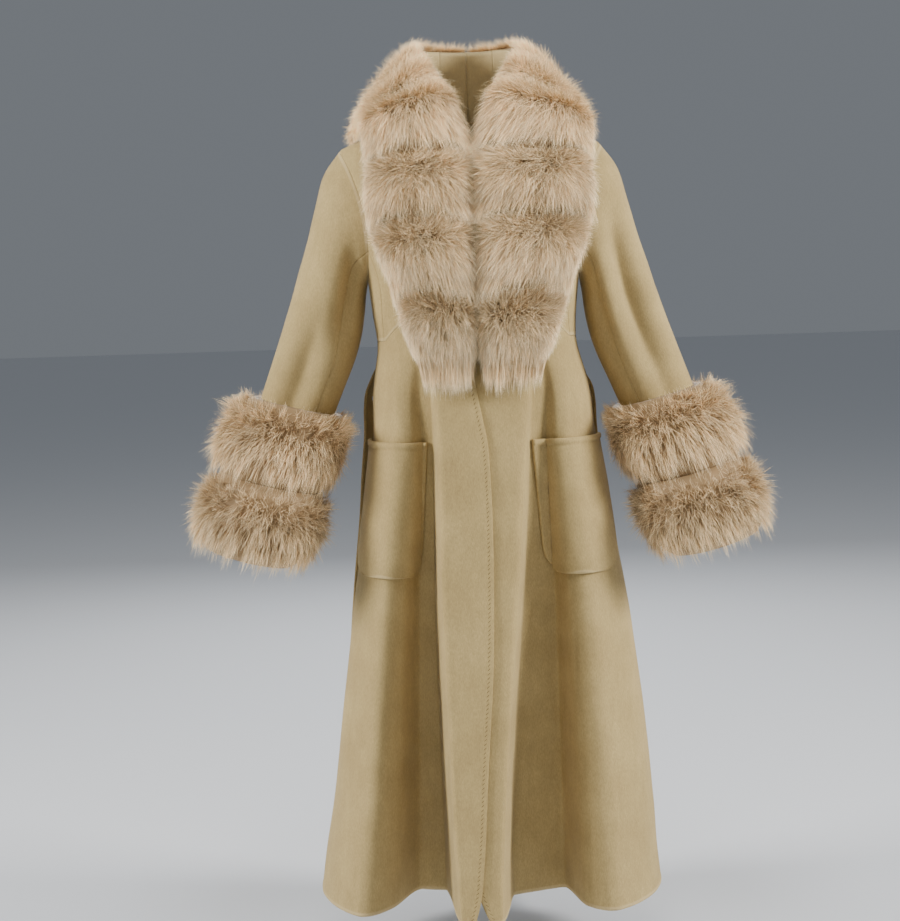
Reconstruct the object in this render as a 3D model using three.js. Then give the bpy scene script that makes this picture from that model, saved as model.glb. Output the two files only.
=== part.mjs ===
// A long wool coat with a banded fur shawl collar and fur cuffs, hollow, in the pose of a worn coat.
// Millimetres, +Z up. The wearer faces -Y, and the wearer's left is +X. The origin is the middle of
// the neck opening, level with the inner ends of the shoulder seams.
// Every panel is a piece of one closed figure, so neighbours share their seams.
import * as THREE from "three";

// Driving dimensions
const CLOTH = 2.5; // thickness of the double-faced wool
const GAP = 0.3; // between two pieces at a seam
const HEM = -1195; // height of the hem
const FOLD_TOP = -345; // the waist, where the skirt's folds begin
const FOLD_GROWTH = 0.85; // below 1 the folds deepen fastest near the waist
const ROUND = 2.3; // superellipse exponent of the figure: 2 is an ellipse, more is squarer
const LAP = 4.5; // how far the wearer's right front lies in front of the left one
const SIDES = { right: -1, left: 1 };

// The figure's sections. half is half the width, front and back are depths from the mid-plane.
// Rows above 0 are the neck, which only the collar follows.
const SECTIONS = [
  { z: HEM, half: 268, front: 215, back: 202 },
  { z: -1062, half: 252, front: 202, back: 190 },
  { z: -880, half: 230, front: 181, back: 172 },
  { z: -726, half: 210, front: 163, back: 155 },
  { z: -573, half: 185, front: 146, back: 138 },
  { z: -481, half: 171, front: 134, back: 126 },
  { z: -420, half: 168, front: 124, back: 113 },
  { z: -385, half: 161, front: 117, back: 102 },
  { z: -340, half: 152, front: 112, back: 92 },
  { z: -290, half: 156, front: 122, back: 99 },
  { z: -239, half: 162, front: 132, back: 109 },
  { z: -142, half: 187, front: 122, back: 116 },
  { z: -60, half: 199, front: 103, back: 110 },
  { z: -45, half: 198, front: 98, back: 106 },
  { z: -30, half: 160, front: 90, back: 98 },
  { z: -15, half: 118, front: 78, back: 87 },
  { z: 0, half: 74, front: 60, back: 74 },
  { z: 60, half: 60, front: 54, back: 66 },
  { z: 120, half: 54, front: 50, back: 62 },
];

// The skirt hangs a little to the wearer's left: by how much of its width at each height
const SWING = [
  { z: HEM, share: 0 },
  { z: -1152, share: 0.004 },
  { z: -1060, share: 0.026 },
  { z: -920, share: 0.044 },
  { z: -727, share: 0.056 },
  { z: -600, share: 0.06 },
  { z: -450, share: 0.05 },
  { z: -380, share: 0.03 },
  { z: -300, share: 0 },
];

// How far each front edge lies past the centre line
const EDGES = [
  { z: HEM, right: -30, left: 5 },
  { z: -1160, right: -20, left: 20 },
  { z: -1110, right: -14, left: 30 },
  { z: -970, right: -3, left: 38 },
  { z: -800, right: 11, left: 42 },
  { z: -600, right: 16, left: 45 },
  { z: -495, right: 13, left: 45 },
  { z: -444, right: 4, left: 45 },
  { z: -388, right: -6, left: 44 },
  { z: -250, right: -14, left: 12 },
  { z: -142, right: -28, left: -28 },
  { z: -45, right: -48, left: -48 },
  { z: 0, right: -58, left: -58 },
];

// The fold lines that run down the skirt, from the front edge round to the centre back. waist and
// hem are angles in degrees from the front, and deep is how far the cloth is pushed in at the hem.
const FRONT_LINES = {
  right: [
    { line: "crease", waist: 19.5, hem: 7.7, deep: -4 },
    { line: "turn", waist: 21.2, hem: 8.8, deep: 20 },
    { line: "valley_near", waist: 24, hem: 12.5, deep: 158 },
    { line: "valley_far", waist: 29.5, hem: 20.8, deep: 158 },
    { line: "rise", waist: 37.5, hem: 32, deep: 58 },
    { line: "flute", waist: 51, hem: 48, deep: -6 },
    { line: "seam", waist: 67, hem: 72, deep: 0 },
  ],
  left: [
    { line: "crease", waist: 23.4, hem: 1.2, deep: -4 },
    { line: "turn", waist: 25, hem: 2.2, deep: 18 },
    { line: "valley_near", waist: 28, hem: 5.2, deep: 128 },
    { line: "valley_far", waist: 33.5, hem: 21.5, deep: 146 },
    { line: "rise", waist: 40.5, hem: 29, deep: 46 },
    { line: "flute", waist: 52, hem: 43.5, deep: -2 },
    { line: "seam", waist: 67, hem: 72, deep: 0 },
  ],
};
const LINE_EASE = { right: 1, left: 1.75 }; // above 1 a front's lines swing in fastest near the waist
const BACK_LINES = [
  { line: "side", waist: 90, hem: 90, deep: 0 },
  { line: "seam", waist: 112, hem: 108, deep: 16 },
  { line: "valley", waist: 126, hem: 124, deep: 44 },
  { line: "flute", waist: 152, hem: 152, deep: -8 },
  { line: "centre", waist: 180, hem: 180, deep: 40 },
];

// The waist seam, which rises towards the front under the collar. place counts the lines above from
// the front edge, 0, over the front's seam line, 8, and the side, 9, to the centre back, 12.
const WAIST = [
  { place: 0, z: -266 },
  { place: 4, z: -285 },
  { place: 5, z: -291 },
  { place: 6, z: -300 },
  { place: 7, z: -315 },
  { place: 8, z: -335 },
  { place: 12, z: -338 },
];

// The armhole, an oval loop on the figure from the shoulder's tip down to the armpit
const ARMHOLE = { z: -142, height: 97, tipX: 198, pitX: 162, inset: 18 };
const SEAM_PHI = 125; // where the side seams and sleeve seams meet the armhole, degrees from its top
const SIDE_SEAM = [
  { z: FOLD_TOP, angle: 67 },
  { z: -290, angle: 61.5 },
  { z: -250, angle: 60 },
];

// The sleeve's sections: its outer and inner lines from the front, half its depth, and its middle's y
const SLEEVE = [
  { at: 0, outX: 198, outZ: -45, inX: 162, inZ: -239, depth: 68, y: 0 },
  { at: 1, outX: 225, outZ: -84, inX: 165, inZ: -251, depth: 67, y: 1 },
  { at: 2, outX: 242, outZ: -142, inX: 168, inZ: -268, depth: 64, y: 2 },
  { at: 3, outX: 261, outZ: -205, inX: 171, inZ: -294, depth: 62, y: 2 },
  { at: 4, outX: 281, outZ: -267, inX: 177, inZ: -326, depth: 60, y: 0 },
  { at: 5, outX: 301, outZ: -330, inX: 190, inZ: -366, depth: 57, y: -5 },
  { at: 6, outX: 325, outZ: -400, inX: 216, inZ: -428, depth: 54, y: -14 },
  { at: 7, outX: 365, outZ: -512, inX: 263, inZ: -540, depth: 51, y: -32 },
  { at: 8, outX: 402, outZ: -624, inX: 305, inZ: -652, depth: 49, y: -50 },
];
const SLEEVE_TROUGH = { phi: 60, width: 24, depth: 9, from: 0.5, to: 6.2 };
const LOOP_REACH = 1.6; // how far down the sleeve the armhole's own shape carries

// The fur collar's cross lines, from its lower end up to the centre back: where each one starts and
// ends on the figure, in degrees and height, the fur's bulge, how far it arches upwards, and how far
// its underside lies from the figure
const COLLAR = [
  { inAngle: 6, inZ: -396, outAngle: 13.5, outZ: -396, bulge: 26, arch: -5, lift: 8 },
  { inAngle: 2.6, inZ: -262, outAngle: 44, outZ: -260, bulge: 66, arch: 14, lift: 8 },
  { inAngle: 2.3, inZ: -152, outAngle: 55, outZ: -156, bulge: 74, arch: 16, lift: 7 },
  { inAngle: 2.3, inZ: -54, outAngle: 50, outZ: -62, bulge: 72, arch: 14, lift: 6 },
  { inAngle: 30, inZ: 34, outAngle: 66, outZ: -34, bulge: 58, arch: 14, lift: 7 },
  { inAngle: 62, inZ: 78, outAngle: 84, outZ: -28, bulge: 46, arch: 8, lift: 9 },
  { inAngle: 102, inZ: 102, outAngle: 106, outZ: -33, bulge: 42, arch: 2, lift: 11.5 },
  { inAngle: 142, inZ: 108, outAngle: 148, outZ: -62, bulge: 46, arch: 0, lift: 8 },
  { inAngle: 180, inZ: 108, outAngle: 180, outZ: -80, bulge: 50, arch: 0, lift: 5 },
];
const COLLAR_SIDES = { right: 0.95, left: 1.04 }; // the collar lies wider on the wearer's left
const COLLAR_WIDE = { right: 0.95, left: 1.03 }; // and its fur reaches further there
const COLLAR_LEAN = 0.42; // how far the fur's inner side leans back towards the centre line
const COLLAR_TIP = 0.56; // how fast the collar widens from its rounded lower end
const FUR_OVERHANG = 10; // how far the fur reaches past the collar's edges
const GROOVE = 0.58; // a collar band's bulge where it meets the next band
const TIP_SHARE = 0.3; // the bulge that is left at the collar's lower end

// The fur cuffs: two bands round each sleeve end, from and to in the sleeve's own measure. aside is
// how far a band's fur is fuller on its outer side.
const CUFF_BANDS = [
  { name: "upper", from: 6.18, to: 7.17, radius: 110, aside: 5 },
  { name: "lower", from: 7.17, to: 8.17, radius: 114, aside: -2 },
];
const CUFF_LIFT = 2.1; // from the sleeve's middle surface to the cuff's inside
const CUFF_CLEAR = 11; // between a cuff and the coat's middle surface at its side
const CUFF_GROOVE = 0.72; // a cuff band's bulge where it meets the other band
const CUFF_MOUTH = 0.42; // the fur's share of its bulge at the cuff's two ends

// The patch pockets
const POCKET = { top: -487, bottom: -690, width: 166, topX: 76, bottomX: 92, corner: 38 };
const POCKET_LIFT = { edge: 5, middle: 6.4 }; // from the panels' middle surface to the pocket's
const POCKET_ROLL = { height: 10, thick: 1.4 }; // the pocket's turned and thickened top edge

// The belt: its middle line on each side, from the centre back to its hanging end
const BELT_THICK = 4;
const BELT_ROUTE = [
  { at: 0, angle: 180, z: -384, out: 6.6, width: 58 },
  { at: 1, angle: 150, z: -386, out: 6.6, width: 58 },
  { at: 2, angle: 124, z: -391, out: 6.6, width: 58 },
  { at: 3, angle: 112, z: -400, out: 7, width: 48 },
  { at: 4, angle: 106, z: -411, out: 11, width: 30 },
  { at: 5, angle: 104, z: -426, out: 16, width: 26 },
  { at: 6, angle: 106, z: -452, out: 18, width: 36 },
  { at: 7, angle: 110, z: -530, out: 17, width: 54 },
  { at: 8, angle: 112, z: -640, out: 13, width: 58 },
  { at: 9, angle: 113, z: -780, out: 13.5, width: 58 },
  { at: 10, angle: 114, z: -905, out: 17, width: 58 },
];
const BELT_TUCK = { right: 0, left: 6 }; // how many degrees further back an end hangs
// A loop of the same cloth at each side holds the belt: its own line from the lower sewn end up
const BELT_LOOP = { angle: 129, middle: -390, width: 9, thick: 2 };
const LOOP_LINE = [
  { up: -51, out: 3.2 },
  { up: -46, out: 3.2 },
  { up: -41.5, out: 11.4 },
  { up: 36, out: 11.4 },
  { up: 40.5, out: 3.2 },
  { up: 45.5, out: 3.2 },
];

// Rows and columns of the meshes
const SKIRT_ROWS = [HEM, -1168, -1110, -1010, -890, -770, -650, -560, -490, -430, -385];
const WAIST_STEPS = 3; // rows from the last skirt row up to the waist seam
const BODICE_STEPS = 4; // rows from the waist seam up to the armhole's side seams
const SHOULDER_ROWS = [-30, -15, 0];
const ARMHOLE_STEPS = 8;
const SIDE_STEPS = 6;
const FRONT_STEPS = [1, 1, 1, 3, 2, 3, 3, 3];
const HALF_SIDE_STEPS = 3;
const BACK_STEPS = [3, 3, 3];
const SLEEVE_ROWS = [0, 0.5, 1, 1.7, 2.5, 3.3, 4.1, 5, 6, 7, 8];
const COLLAR_STEPS = { across: 8, along: 4 };
const CUFF_STEPS = { round: 24, along: 6 };
const POCKET_STEPS = { across: 12, down: 6 };
const BELT_STEPS = 34;

const WOOL = { color: 0xb09c74, roughness: 0.92, metalness: 0 };
const FUR = { color: 0xc9ae8d, roughness: 0.85, metalness: 0 };

const radians = THREE.MathUtils.degToRad;
const degrees = THREE.MathUtils.radToDeg;
const clamp = THREE.MathUtils.clamp;
const mix = THREE.MathUtils.lerp;
const ease = (t) => THREE.MathUtils.smoothstep(t, 0, 1);
const steps = (n) => Array.from({ length: n + 1 }, (_, i) => i / n);

// The value at x of the smooth curve through the points, which never overshoots them
function smoothCurve(xs, ys, x) {
  const last = xs.length - 1;
  if (x <= xs[0]) return ys[0];
  if (x >= xs[last]) return ys[last];
  const i = xs.findIndex((knot) => knot > x) - 1;
  const width = (k) => xs[k + 1] - xs[k];
  const rise = (k) => (ys[k + 1] - ys[k]) / width(k);
  const slope = (k) => {
    if (k === 0) return rise(0);
    if (k === last) return rise(last - 1);
    const a = rise(k - 1);
    const b = rise(k);
    const p = (a * width(k) + b * width(k - 1)) / (width(k - 1) + width(k));
    return (Math.sign(a) + Math.sign(b)) * Math.min(Math.abs(a), Math.abs(b), 0.5 * Math.abs(p));
  };
  const w = width(i);
  const t = (x - xs[i]) / w;
  return (
    ys[i] * (2 * t ** 3 - 3 * t ** 2 + 1) +
    slope(i) * w * (t ** 3 - 2 * t ** 2 + t) +
    ys[i + 1] * (3 * t ** 2 - 2 * t ** 3) +
    slope(i + 1) * w * (t ** 3 - t ** 2)
  );
}

// One named column of a table, read smoothly along another
function along(rows, by, name, at) {
  return smoothCurve(rows.map((row) => row[by]), rows.map((row) => row[name]), at);
}

// The figure's skin at an angle from the front and a height, on the wearer's left
function figure(angle, z) {
  const half = along(SECTIONS, "z", "half", z);
  const s = Math.sin(radians(angle));
  const c = Math.cos(radians(angle));
  const depth = along(SECTIONS, "z", c > 0 ? "front" : "back", z);
  const power = 2 / ROUND;
  return new THREE.Vector3(
    half * Math.sign(s) * Math.abs(s) ** power,
    -depth * Math.sign(c) * Math.abs(c) ** power,
    z,
  );
}

// The angle at which the figure's front is x from the centre
function angleAt(x, z) {
  const share = clamp(Math.abs(x) / along(SECTIONS, "z", "half", z), 0, 1);
  return Math.sign(x) * degrees(Math.asin(share ** (ROUND / 2)));
}

// How much of each fold's depth is there at a height
function foldShare(z) {
  return clamp((FOLD_TOP - z) / (FOLD_TOP - HEM), 0, 1) ** FOLD_GROWTH;
}

function swing(side, z) {
  return 1 + SIDES[side] * along(SWING, "z", "share", z);
}

// A point of the coat: the figure's skin, pushed in by a fold. Front folds go straight back.
function coatPoint(side, angle, deep, z) {
  const aim = radians(angle * ease((Math.abs(angle) - 50) / 40));
  const push = deep * foldShare(z);
  const point = figure(angle, z).add(new THREE.Vector3(-Math.sin(aim), Math.cos(aim), 0).multiplyScalar(push));
  point.x *= swing(side, z);
  return point;
}

// The armhole's angle and height at phi degrees from its top, towards the front
function armholeAt(phi) {
  const c = Math.cos(radians(phi));
  const z = ARMHOLE.z + ARMHOLE.height * c;
  const x = mix(ARMHOLE.tipX, ARMHOLE.pitX, (1 - c) / 2) - ARMHOLE.inset * Math.sin(radians(phi)) ** 2;
  const angle = angleAt(x, z);
  return { z, angle: Math.sin(radians(phi)) >= 0 ? angle : 180 - angle };
}

function armholePoint(phi) {
  const { z, angle } = armholeAt(phi);
  return figure(angle, z);
}

const SEAM_TOP = armholeAt(SEAM_PHI);

// Where a front ends at the side, and where the back begins, at a height
function frontBound(z) {
  if (z >= ARMHOLE.z + ARMHOLE.height) return 90;
  if (z >= SEAM_TOP.z) return armholeAt(degrees(Math.acos((z - ARMHOLE.z) / ARMHOLE.height))).angle;
  return along([...SIDE_SEAM, SEAM_TOP], "z", "angle", z);
}

function backBound(z) {
  if (z >= SEAM_TOP.z) return 180 - frontBound(z);
  return mix(180 - SEAM_TOP.angle, BACK_LINES[1].waist, ease((SEAM_TOP.z - z) / (SEAM_TOP.z - FOLD_TOP)));
}

// A fold line's angle at a height below the waist
function lineAngle(row, z, power = 1) {
  const t = clamp((FOLD_TOP - z) / (FOLD_TOP - HEM), 0, 1);
  return row.hem + (row.waist - row.hem) * (1 - t) ** power;
}

// The angles of a front's lines: its edge, the middle of its lap, then FRONT_LINES
function frontAngles(side, z) {
  const edge = angleAt(-along(EDGES, "z", side, z), z);
  const low = Math.min(z, FOLD_TOP);
  const lines = FRONT_LINES[side].map((row) => lineAngle(row, low, LINE_EASE[side]));
  if (z > FOLD_TOP) {
    const start = angleAt(-along(EDGES, "z", side, FOLD_TOP), FOLD_TOP);
    const stretch = (frontBound(z) - edge) / (lines.at(-1) - start);
    lines.forEach((angle, i) => (lines[i] = edge + (angle - start) * stretch));
  }
  return [edge, (edge + lines[0]) / 2, ...lines];
}

function backAngles(z) {
  const low = Math.min(z, FOLD_TOP);
  const lines = BACK_LINES.slice(1).map((row) => lineAngle(row, low));
  if (z <= FOLD_TOP) return lines;
  const bound = backBound(z);
  return lines.map((angle) => 180 - ((180 - angle) * (180 - bound)) / (180 - lines[0]));
}

// Reads a list between its items, at a place such as 2.5
function between(list, place) {
  const i = clamp(Math.floor(place), 0, list.length - 2);
  return mix(list[i], list[i + 1], place - i);
}

// Fold depth between the lines, by their angles at the hem
const DEPTH_LINES = Object.fromEntries(
  Object.keys(SIDES).map((side) => {
    const edge = angleAt(-EDGES[0][side], HEM);
    const crease = FRONT_LINES[side][0];
    const mirrored = BACK_LINES.slice(0, -1).reverse();
    return [
      side,
      {
        angles: [edge, (edge + crease.hem) / 2, ...FRONT_LINES[side].map((row) => row.hem)].concat(
          BACK_LINES.map((row) => row.hem),
          mirrored.map((row) => 360 - row.hem),
        ),
        deeps: [crease.deep, crease.deep, ...FRONT_LINES[side].map((row) => row.deep)].concat(
          BACK_LINES.map((row) => row.deep),
          mirrored.map((row) => row.deep),
        ),
      },
    ];
  }),
);

function foldDepth(side, hemAngle) {
  return smoothCurve(DEPTH_LINES[side].angles, DEPTH_LINES[side].deeps, hemAngle);
}

// The surfaces that the panels are cut from, all on the wearer's left and mirrored later
function frontSurface(side, place, z) {
  const hemAngle = between(DEPTH_LINES[side].angles.slice(0, 9), place);
  const point = coatPoint(side, between(frontAngles(side, z), place), foldDepth(side, hemAngle), z);
  const lap = side === "right" ? LAP * (1 - ease((place - 2) / 2)) * ease((-160 - z) / 60) : 0;
  return point.add(new THREE.Vector3(0, -lap, 0));
}

function backSurface(side, place, z) {
  const hems = BACK_LINES.slice(1).map((row) => row.hem);
  return coatPoint(side, between(backAngles(z), place), foldDepth("left", between(hems, place)), z);
}

function sideSurface(side, share, z) {
  const top = armholeAt(mix(SEAM_PHI, 360 - SEAM_PHI, share));
  const linear = (height) => {
    const front = height > FOLD_TOP ? frontBound(height) : lineAngle(FRONT_LINES[side].at(-1), height, LINE_EASE[side]);
    const back = height > FOLD_TOP ? backBound(height) : lineAngle(BACK_LINES[1], height);
    return mix(front, back, share);
  };
  const rise = ease((z + 300) / (top.z + 300));
  const hemAngle = mix(FRONT_LINES[side].at(-1).hem, BACK_LINES[1].hem, share);
  return coatPoint(side, linear(z) + rise * (top.angle - linear(top.z)), foldDepth(side, hemAngle), z);
}

// Half the coat's body, from the front edge at place 0 to the centre back at 12. Past 12 it is the
// other half, back to the right front's edge at 24.
function bodySurface(side, place, z) {
  if (place > 12) {
    const point = bodySurface("right", 24 - place, z);
    point.x *= -1;
    return point;
  }
  if (place <= 8) return frontSurface(side, place, z);
  if (place <= 9) return sideSurface(side, place - 8, z);
  return backSurface(side, place - 9, z);
}

// The sleeve: phi runs round it from the outer line towards the front
function sleeveSurface(phi, at) {
  const row = (name, place) => along(SLEEVE, "at", name, place);
  const oval = (place) => {
    const c = Math.cos(radians(phi));
    return new THREE.Vector3(
      mix(row("inX", place), row("outX", place), (1 + c) / 2),
      row("y", place) - row("depth", place) * Math.sin(radians(phi)),
      mix(row("inZ", place), row("outZ", place), (1 + c) / 2),
    );
  };
  const point = oval(at);
  const carry = clamp(1 - at / LOOP_REACH, 0, 1) ** 2;
  point.add(armholePoint(phi).sub(oval(0)).multiplyScalar(carry));
  const { from, to, depth, width } = SLEEVE_TROUGH;
  const reach = Math.sin(Math.PI * clamp((at - from) / (to - from), 0, 1)) ** 2;
  const hollow = depth * reach * Math.exp(-(((phi - SLEEVE_TROUGH.phi) / width) ** 2));
  return point.add(sleeveMiddle(at).sub(point).normalize().multiplyScalar(hollow));
}

function sleeveMiddle(at) {
  const row = (name) => along(SLEEVE, "at", name, at);
  return new THREE.Vector3((row("inX") + row("outX")) / 2, row("y"), (row("inZ") + row("outZ")) / 2);
}

// The outward normal of a surface(a, b) whose a runs round the coat and b runs up
function normalOf(surface, a, b, stepA, stepB) {
  const da = surface(a + stepA, b).sub(surface(a - stepA, b));
  const db = surface(a, b + stepB).sub(surface(a, b - stepB));
  return da.cross(db).normalize();
}

// The edge that a panel and the sleeve share at the armhole: the wall's direction there, and the
// direction from the panel to the sleeve
function armholeEdge(phi) {
  const near = phi > SEAM_PHI && phi < 360 - SEAM_PHI;
  const { z, angle } = armholeAt(phi);
  const skin = normalOf((a, b) => figure(a, b), near ? angle : clamp(angle, 4, 176), z, 1, 1);
  const sleeve = normalOf((a, b) => sleeveSurface(-a, -b), -phi, -0.15, 2, 0.1);
  const tangent = armholePoint(phi + 1).sub(armholePoint(phi - 1)).normalize();
  const wall = skin.add(sleeve).normalize();
  wall.addScaledVector(tangent, -wall.dot(tangent)).normalize();
  const across = new THREE.Vector3().crossVectors(tangent, wall).normalize();
  if (across.x < 0) across.negate();
  return { wall, across };
}

// A closed solid between an outer and an inner grid of points. A ring closes on itself.
function wallBetween(outer, inner, ring = false, turned = 0) {
  const rows = outer.length;
  const cols = outer[0].length;
  const span = ring ? cols : cols - 1;
  const points = [...outer.flat(), ...inner.flat()];
  const id = (layer, r, c) => layer * rows * cols + r * cols + (c % cols);
  const faces = [];
  const quad = (a, b, c, d) => faces.push(a, b, c, a, c, d);
  for (let r = 0; r < rows - 1; r++)
    for (let c = 0; c < span; c++) {
      quad(id(0, r, c), id(0, r, c + 1), id(0, r + 1, c + 1), id(0, r + 1, c));
      quad(id(1, r, c), id(1, r + 1, c), id(1, r + 1, c + 1), id(1, r, c + 1));
    }
  for (let c = 0; c < span; c++) {
    const first = [id(0, 0, c), id(1, 0, c), id(1, 0, c + 1), id(0, 0, c + 1)];
    const last = [id(0, rows - 1, c), id(0, rows - 1, c + 1), id(1, rows - 1, c + 1), id(1, rows - 1, c)];
    for (const [a, b, d, e] of [first, last]) c < turned ? quad(b, d, e, a) : quad(a, b, d, e);
  }
  for (let r = 0; r < rows - 1 && !ring; r++) {
    quad(id(0, r, 0), id(0, r + 1, 0), id(1, r + 1, 0), id(1, r, 0));
    quad(id(0, r, cols - 1), id(1, r, cols - 1), id(1, r + 1, cols - 1), id(0, r + 1, cols - 1));
  }
  return { points, faces };
}

function volumeOf({ points, faces }) {
  let sum = 0;
  for (let i = 0; i < faces.length; i += 3)
    sum += points[faces[i]].dot(points[faces[i + 1]].clone().cross(points[faces[i + 2]]));
  return sum / 6;
}

// A named mesh, mirrored for the wearer's right, with its faces turned outwards
function piece(name, solid, finish, mirror = false) {
  const points = solid.points.map((p) => new THREE.Vector3(mirror ? -p.x : p.x, p.y, p.z));
  const faces = [...solid.faces];
  if (volumeOf({ points, faces }) < 0)
    for (let i = 0; i < faces.length; i += 3) [faces[i + 1], faces[i + 2]] = [faces[i + 2], faces[i + 1]];
  const geometry = new THREE.BufferGeometry().setFromPoints(points);
  geometry.setIndex(faces);
  geometry.computeVertexNormals();
  const mesh = new THREE.Mesh(geometry, new THREE.MeshStandardMaterial(finish));
  mesh.name = name;
  return mesh;
}

// Cuts a panel from a surface. Each grid item has its place, its height, and where it lies on an
// edge: trim is -1 or 1 along the row at a seam, rise is -1 or 1 along the column, and edge is an
// armhole's edge.
function panel(surface, grid, thickness = CLOTH) {
  const layer = (sign) =>
    grid.map((row) =>
      row.map(({ place, z, trim = 0, rise = 0, edge = null }) => {
        const point = surface(place, z);
        if (edge) return point.addScaledVector(edge.wall, (sign * thickness) / 2).addScaledVector(edge.across, -GAP / 2);
        const normal = normalOf(surface, place, z, 0.02, 1);
        const forward = surface(place + 0.02, z).sub(surface(place - 0.02, z)).normalize();
        const up = normal.clone().cross(forward).normalize();
        point.addScaledVector(forward, (-trim * GAP) / 2).addScaledVector(up, (-rise * GAP) / 2);
        return point.addScaledVector(normal, (sign * thickness) / 2);
      }),
    );
  return wallBetween(layer(1), layer(-1));
}

// Places between numbered lines, so many to each interval
function places(counts) {
  return [0, ...counts.flatMap((n, i) => steps(n).slice(1).map((t) => i + t))];
}

const waistAt = (place) => along(WAIST, "place", "z", Math.min(place, 24 - place));
const mirrored = (v) => new THREE.Vector3(-v.x, v.y, v.z);
const armholePhis = steps(ARMHOLE_STEPS).map((t) => SEAM_PHI * (1 - t));

// A run of places as grid items at one height, with a seam at each end that joins another piece
function gridRow(run, heightAt, seams, options = {}) {
  return run.map((place, i) => {
    const trim = i === 0 ? -seams[0] : i === run.length - 1 ? seams[1] : 0;
    return { place, z: heightAt(place), trim, ...options };
  });
}

// The rows of a skirt piece: straight ones up to the hips, then a few up to the waist seam
function skirtRows(run, seams) {
  const top = SKIRT_ROWS.at(-1);
  const straight = SKIRT_ROWS.map((z) => gridRow(run, () => z, seams));
  const sloped = steps(WAIST_STEPS).slice(1).map((t) => {
    const heightAt = (place) => mix(top, waistAt(place), t);
    return gridRow(run, heightAt, seams, { rise: t === 1 ? 1 : 0 });
  });
  return [...straight, ...sloped];
}

// The rows of a bodice piece from the waist seam up to a height given for each place
function bodiceRows(run, topAt, seams) {
  return steps(BODICE_STEPS).map((t) => {
    const heightAt = (place) => mix(waistAt(place), topAt(place), t);
    return gridRow(run, heightAt, seams, { rise: t === 0 ? -1 : 0 });
  });
}

function skirtFront(side) {
  const onSide = steps(HALF_SIDE_STEPS).slice(1).map((t) => 8 + t / 2);
  const run = [...places(FRONT_STEPS), ...onSide];
  return panel((place, z) => bodySurface(side, place, z), skirtRows(run, [0, 1]));
}

function skirtBack() {
  const half = [...steps(HALF_SIDE_STEPS).map((t) => 8.5 + t / 2), ...places(BACK_STEPS).slice(1).map((p) => 9 + p)];
  const run = [...half, ...half.slice(0, -1).reverse().map((place) => 24 - place)];
  return panel((place, z) => bodySurface("left", place, z), skirtRows(run, [1, 1]));
}

// The bodice's front and back rows beside the armhole, then up to the shoulder
function upperRows(run, ends) {
  const atArmhole = armholePhis.map((phi) => {
    const row = gridRow(run, () => armholeAt(phi).z, [1, 1]);
    ends.forEach(({ index, edgeAt }) => (row.at(index).edge = edgeAt(phi)));
    return row;
  });
  return [...atArmhole, ...SHOULDER_ROWS.map((z) => gridRow(run, () => z, ends.length > 1 ? [1, 1] : [0, 1]))];
}

function bodiceFront(side) {
  const run = places(FRONT_STEPS);
  const lower = bodiceRows(run, () => SEAM_TOP.z, [0, 1]).slice(0, -1);
  const upper = upperRows(run, [{ index: -1, edgeAt: armholeEdge }]);
  upper.forEach((row) => (row[0].trim = 0));
  return panel((place, z) => bodySurface(side, place, z), [...lower, ...upper]);
}

function bodiceBack() {
  const half = places(BACK_STEPS).map((place) => 9 + place);
  const run = [...half, ...half.slice(0, -1).reverse().map((place) => 24 - place)];
  const leftEdge = (phi) => armholeEdge(360 - phi);
  const rightEdge = (phi) => {
    const { wall, across } = armholeEdge(360 - phi);
    return { wall: mirrored(wall), across: mirrored(across) };
  };
  const lower = bodiceRows(run, () => SEAM_TOP.z, [1, 1]).slice(0, -1);
  const upper = upperRows(run, [{ index: 0, edgeAt: leftEdge }, { index: -1, edgeAt: rightEdge }]);
  return panel((place, z) => bodySurface("left", place, z), [...lower, ...upper]);
}

function bodiceSide(side) {
  const run = steps(SIDE_STEPS).map((share) => 8 + share);
  const phiAt = (place) => mix(SEAM_PHI, 360 - SEAM_PHI, place - 8);
  const rows = bodiceRows(run, (place) => armholeAt(phiAt(place)).z, [1, 1]);
  rows.at(-1).forEach((item) => (item.edge = armholeEdge(phiAt(item.place))));
  return panel((place, z) => sideSurface(side, place - 8, z), rows);
}

// Part of the sleeve between two angles, both on the armhole's own columns
function sleevePanel(phis) {
  const layer = (sign) =>
    SLEEVE_ROWS.map((at) =>
      phis.map((phi, i) => {
        const point = sleeveSurface(phi, at);
        const trim = i === 0 ? 1 : i === phis.length - 1 ? -1 : 0;
        const round = sleeveSurface(phi + 2, at).sub(sleeveSurface(phi - 2, at)).normalize();
        point.addScaledVector(round, (trim * GAP) / 2);
        if (at === 0) {
          const { wall, across } = armholeEdge((phi + 360) % 360);
          return point.addScaledVector(wall, (sign * CLOTH) / 2).addScaledVector(across, GAP / 2);
        }
        const normal = normalOf((a, b) => sleeveSurface(-a, -b), -phi, -at, 2, 0.1);
        return point.addScaledVector(normal, (sign * CLOTH) / 2);
      }),
    );
  return wallBetween(layer(1), layer(-1));
}

// The point so many millimetres round the coat from a place at x, at one height
function walkRound(side, z, fromX, distances) {
  const surface = (place) => bodySurface(side, place, z);
  const path = steps(180).map((t) => t * 9);
  const points = path.map(surface);
  const first = points.findIndex((p, i) => path[i] > 4 && p.x >= fromX);
  const found = [];
  let run = 0;
  for (let i = first; i < path.length - 1 && found.length < distances.length; i++) {
    const step = points[i + 1].distanceTo(points[i]);
    while (found.length < distances.length && distances[found.length] <= run + step) {
      found.push(mix(path[i], path[i + 1], (distances[found.length] - run) / step));
    }
    run += step;
  }
  return found.map((place) => ({ place, point: surface(place) }));
}

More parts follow.
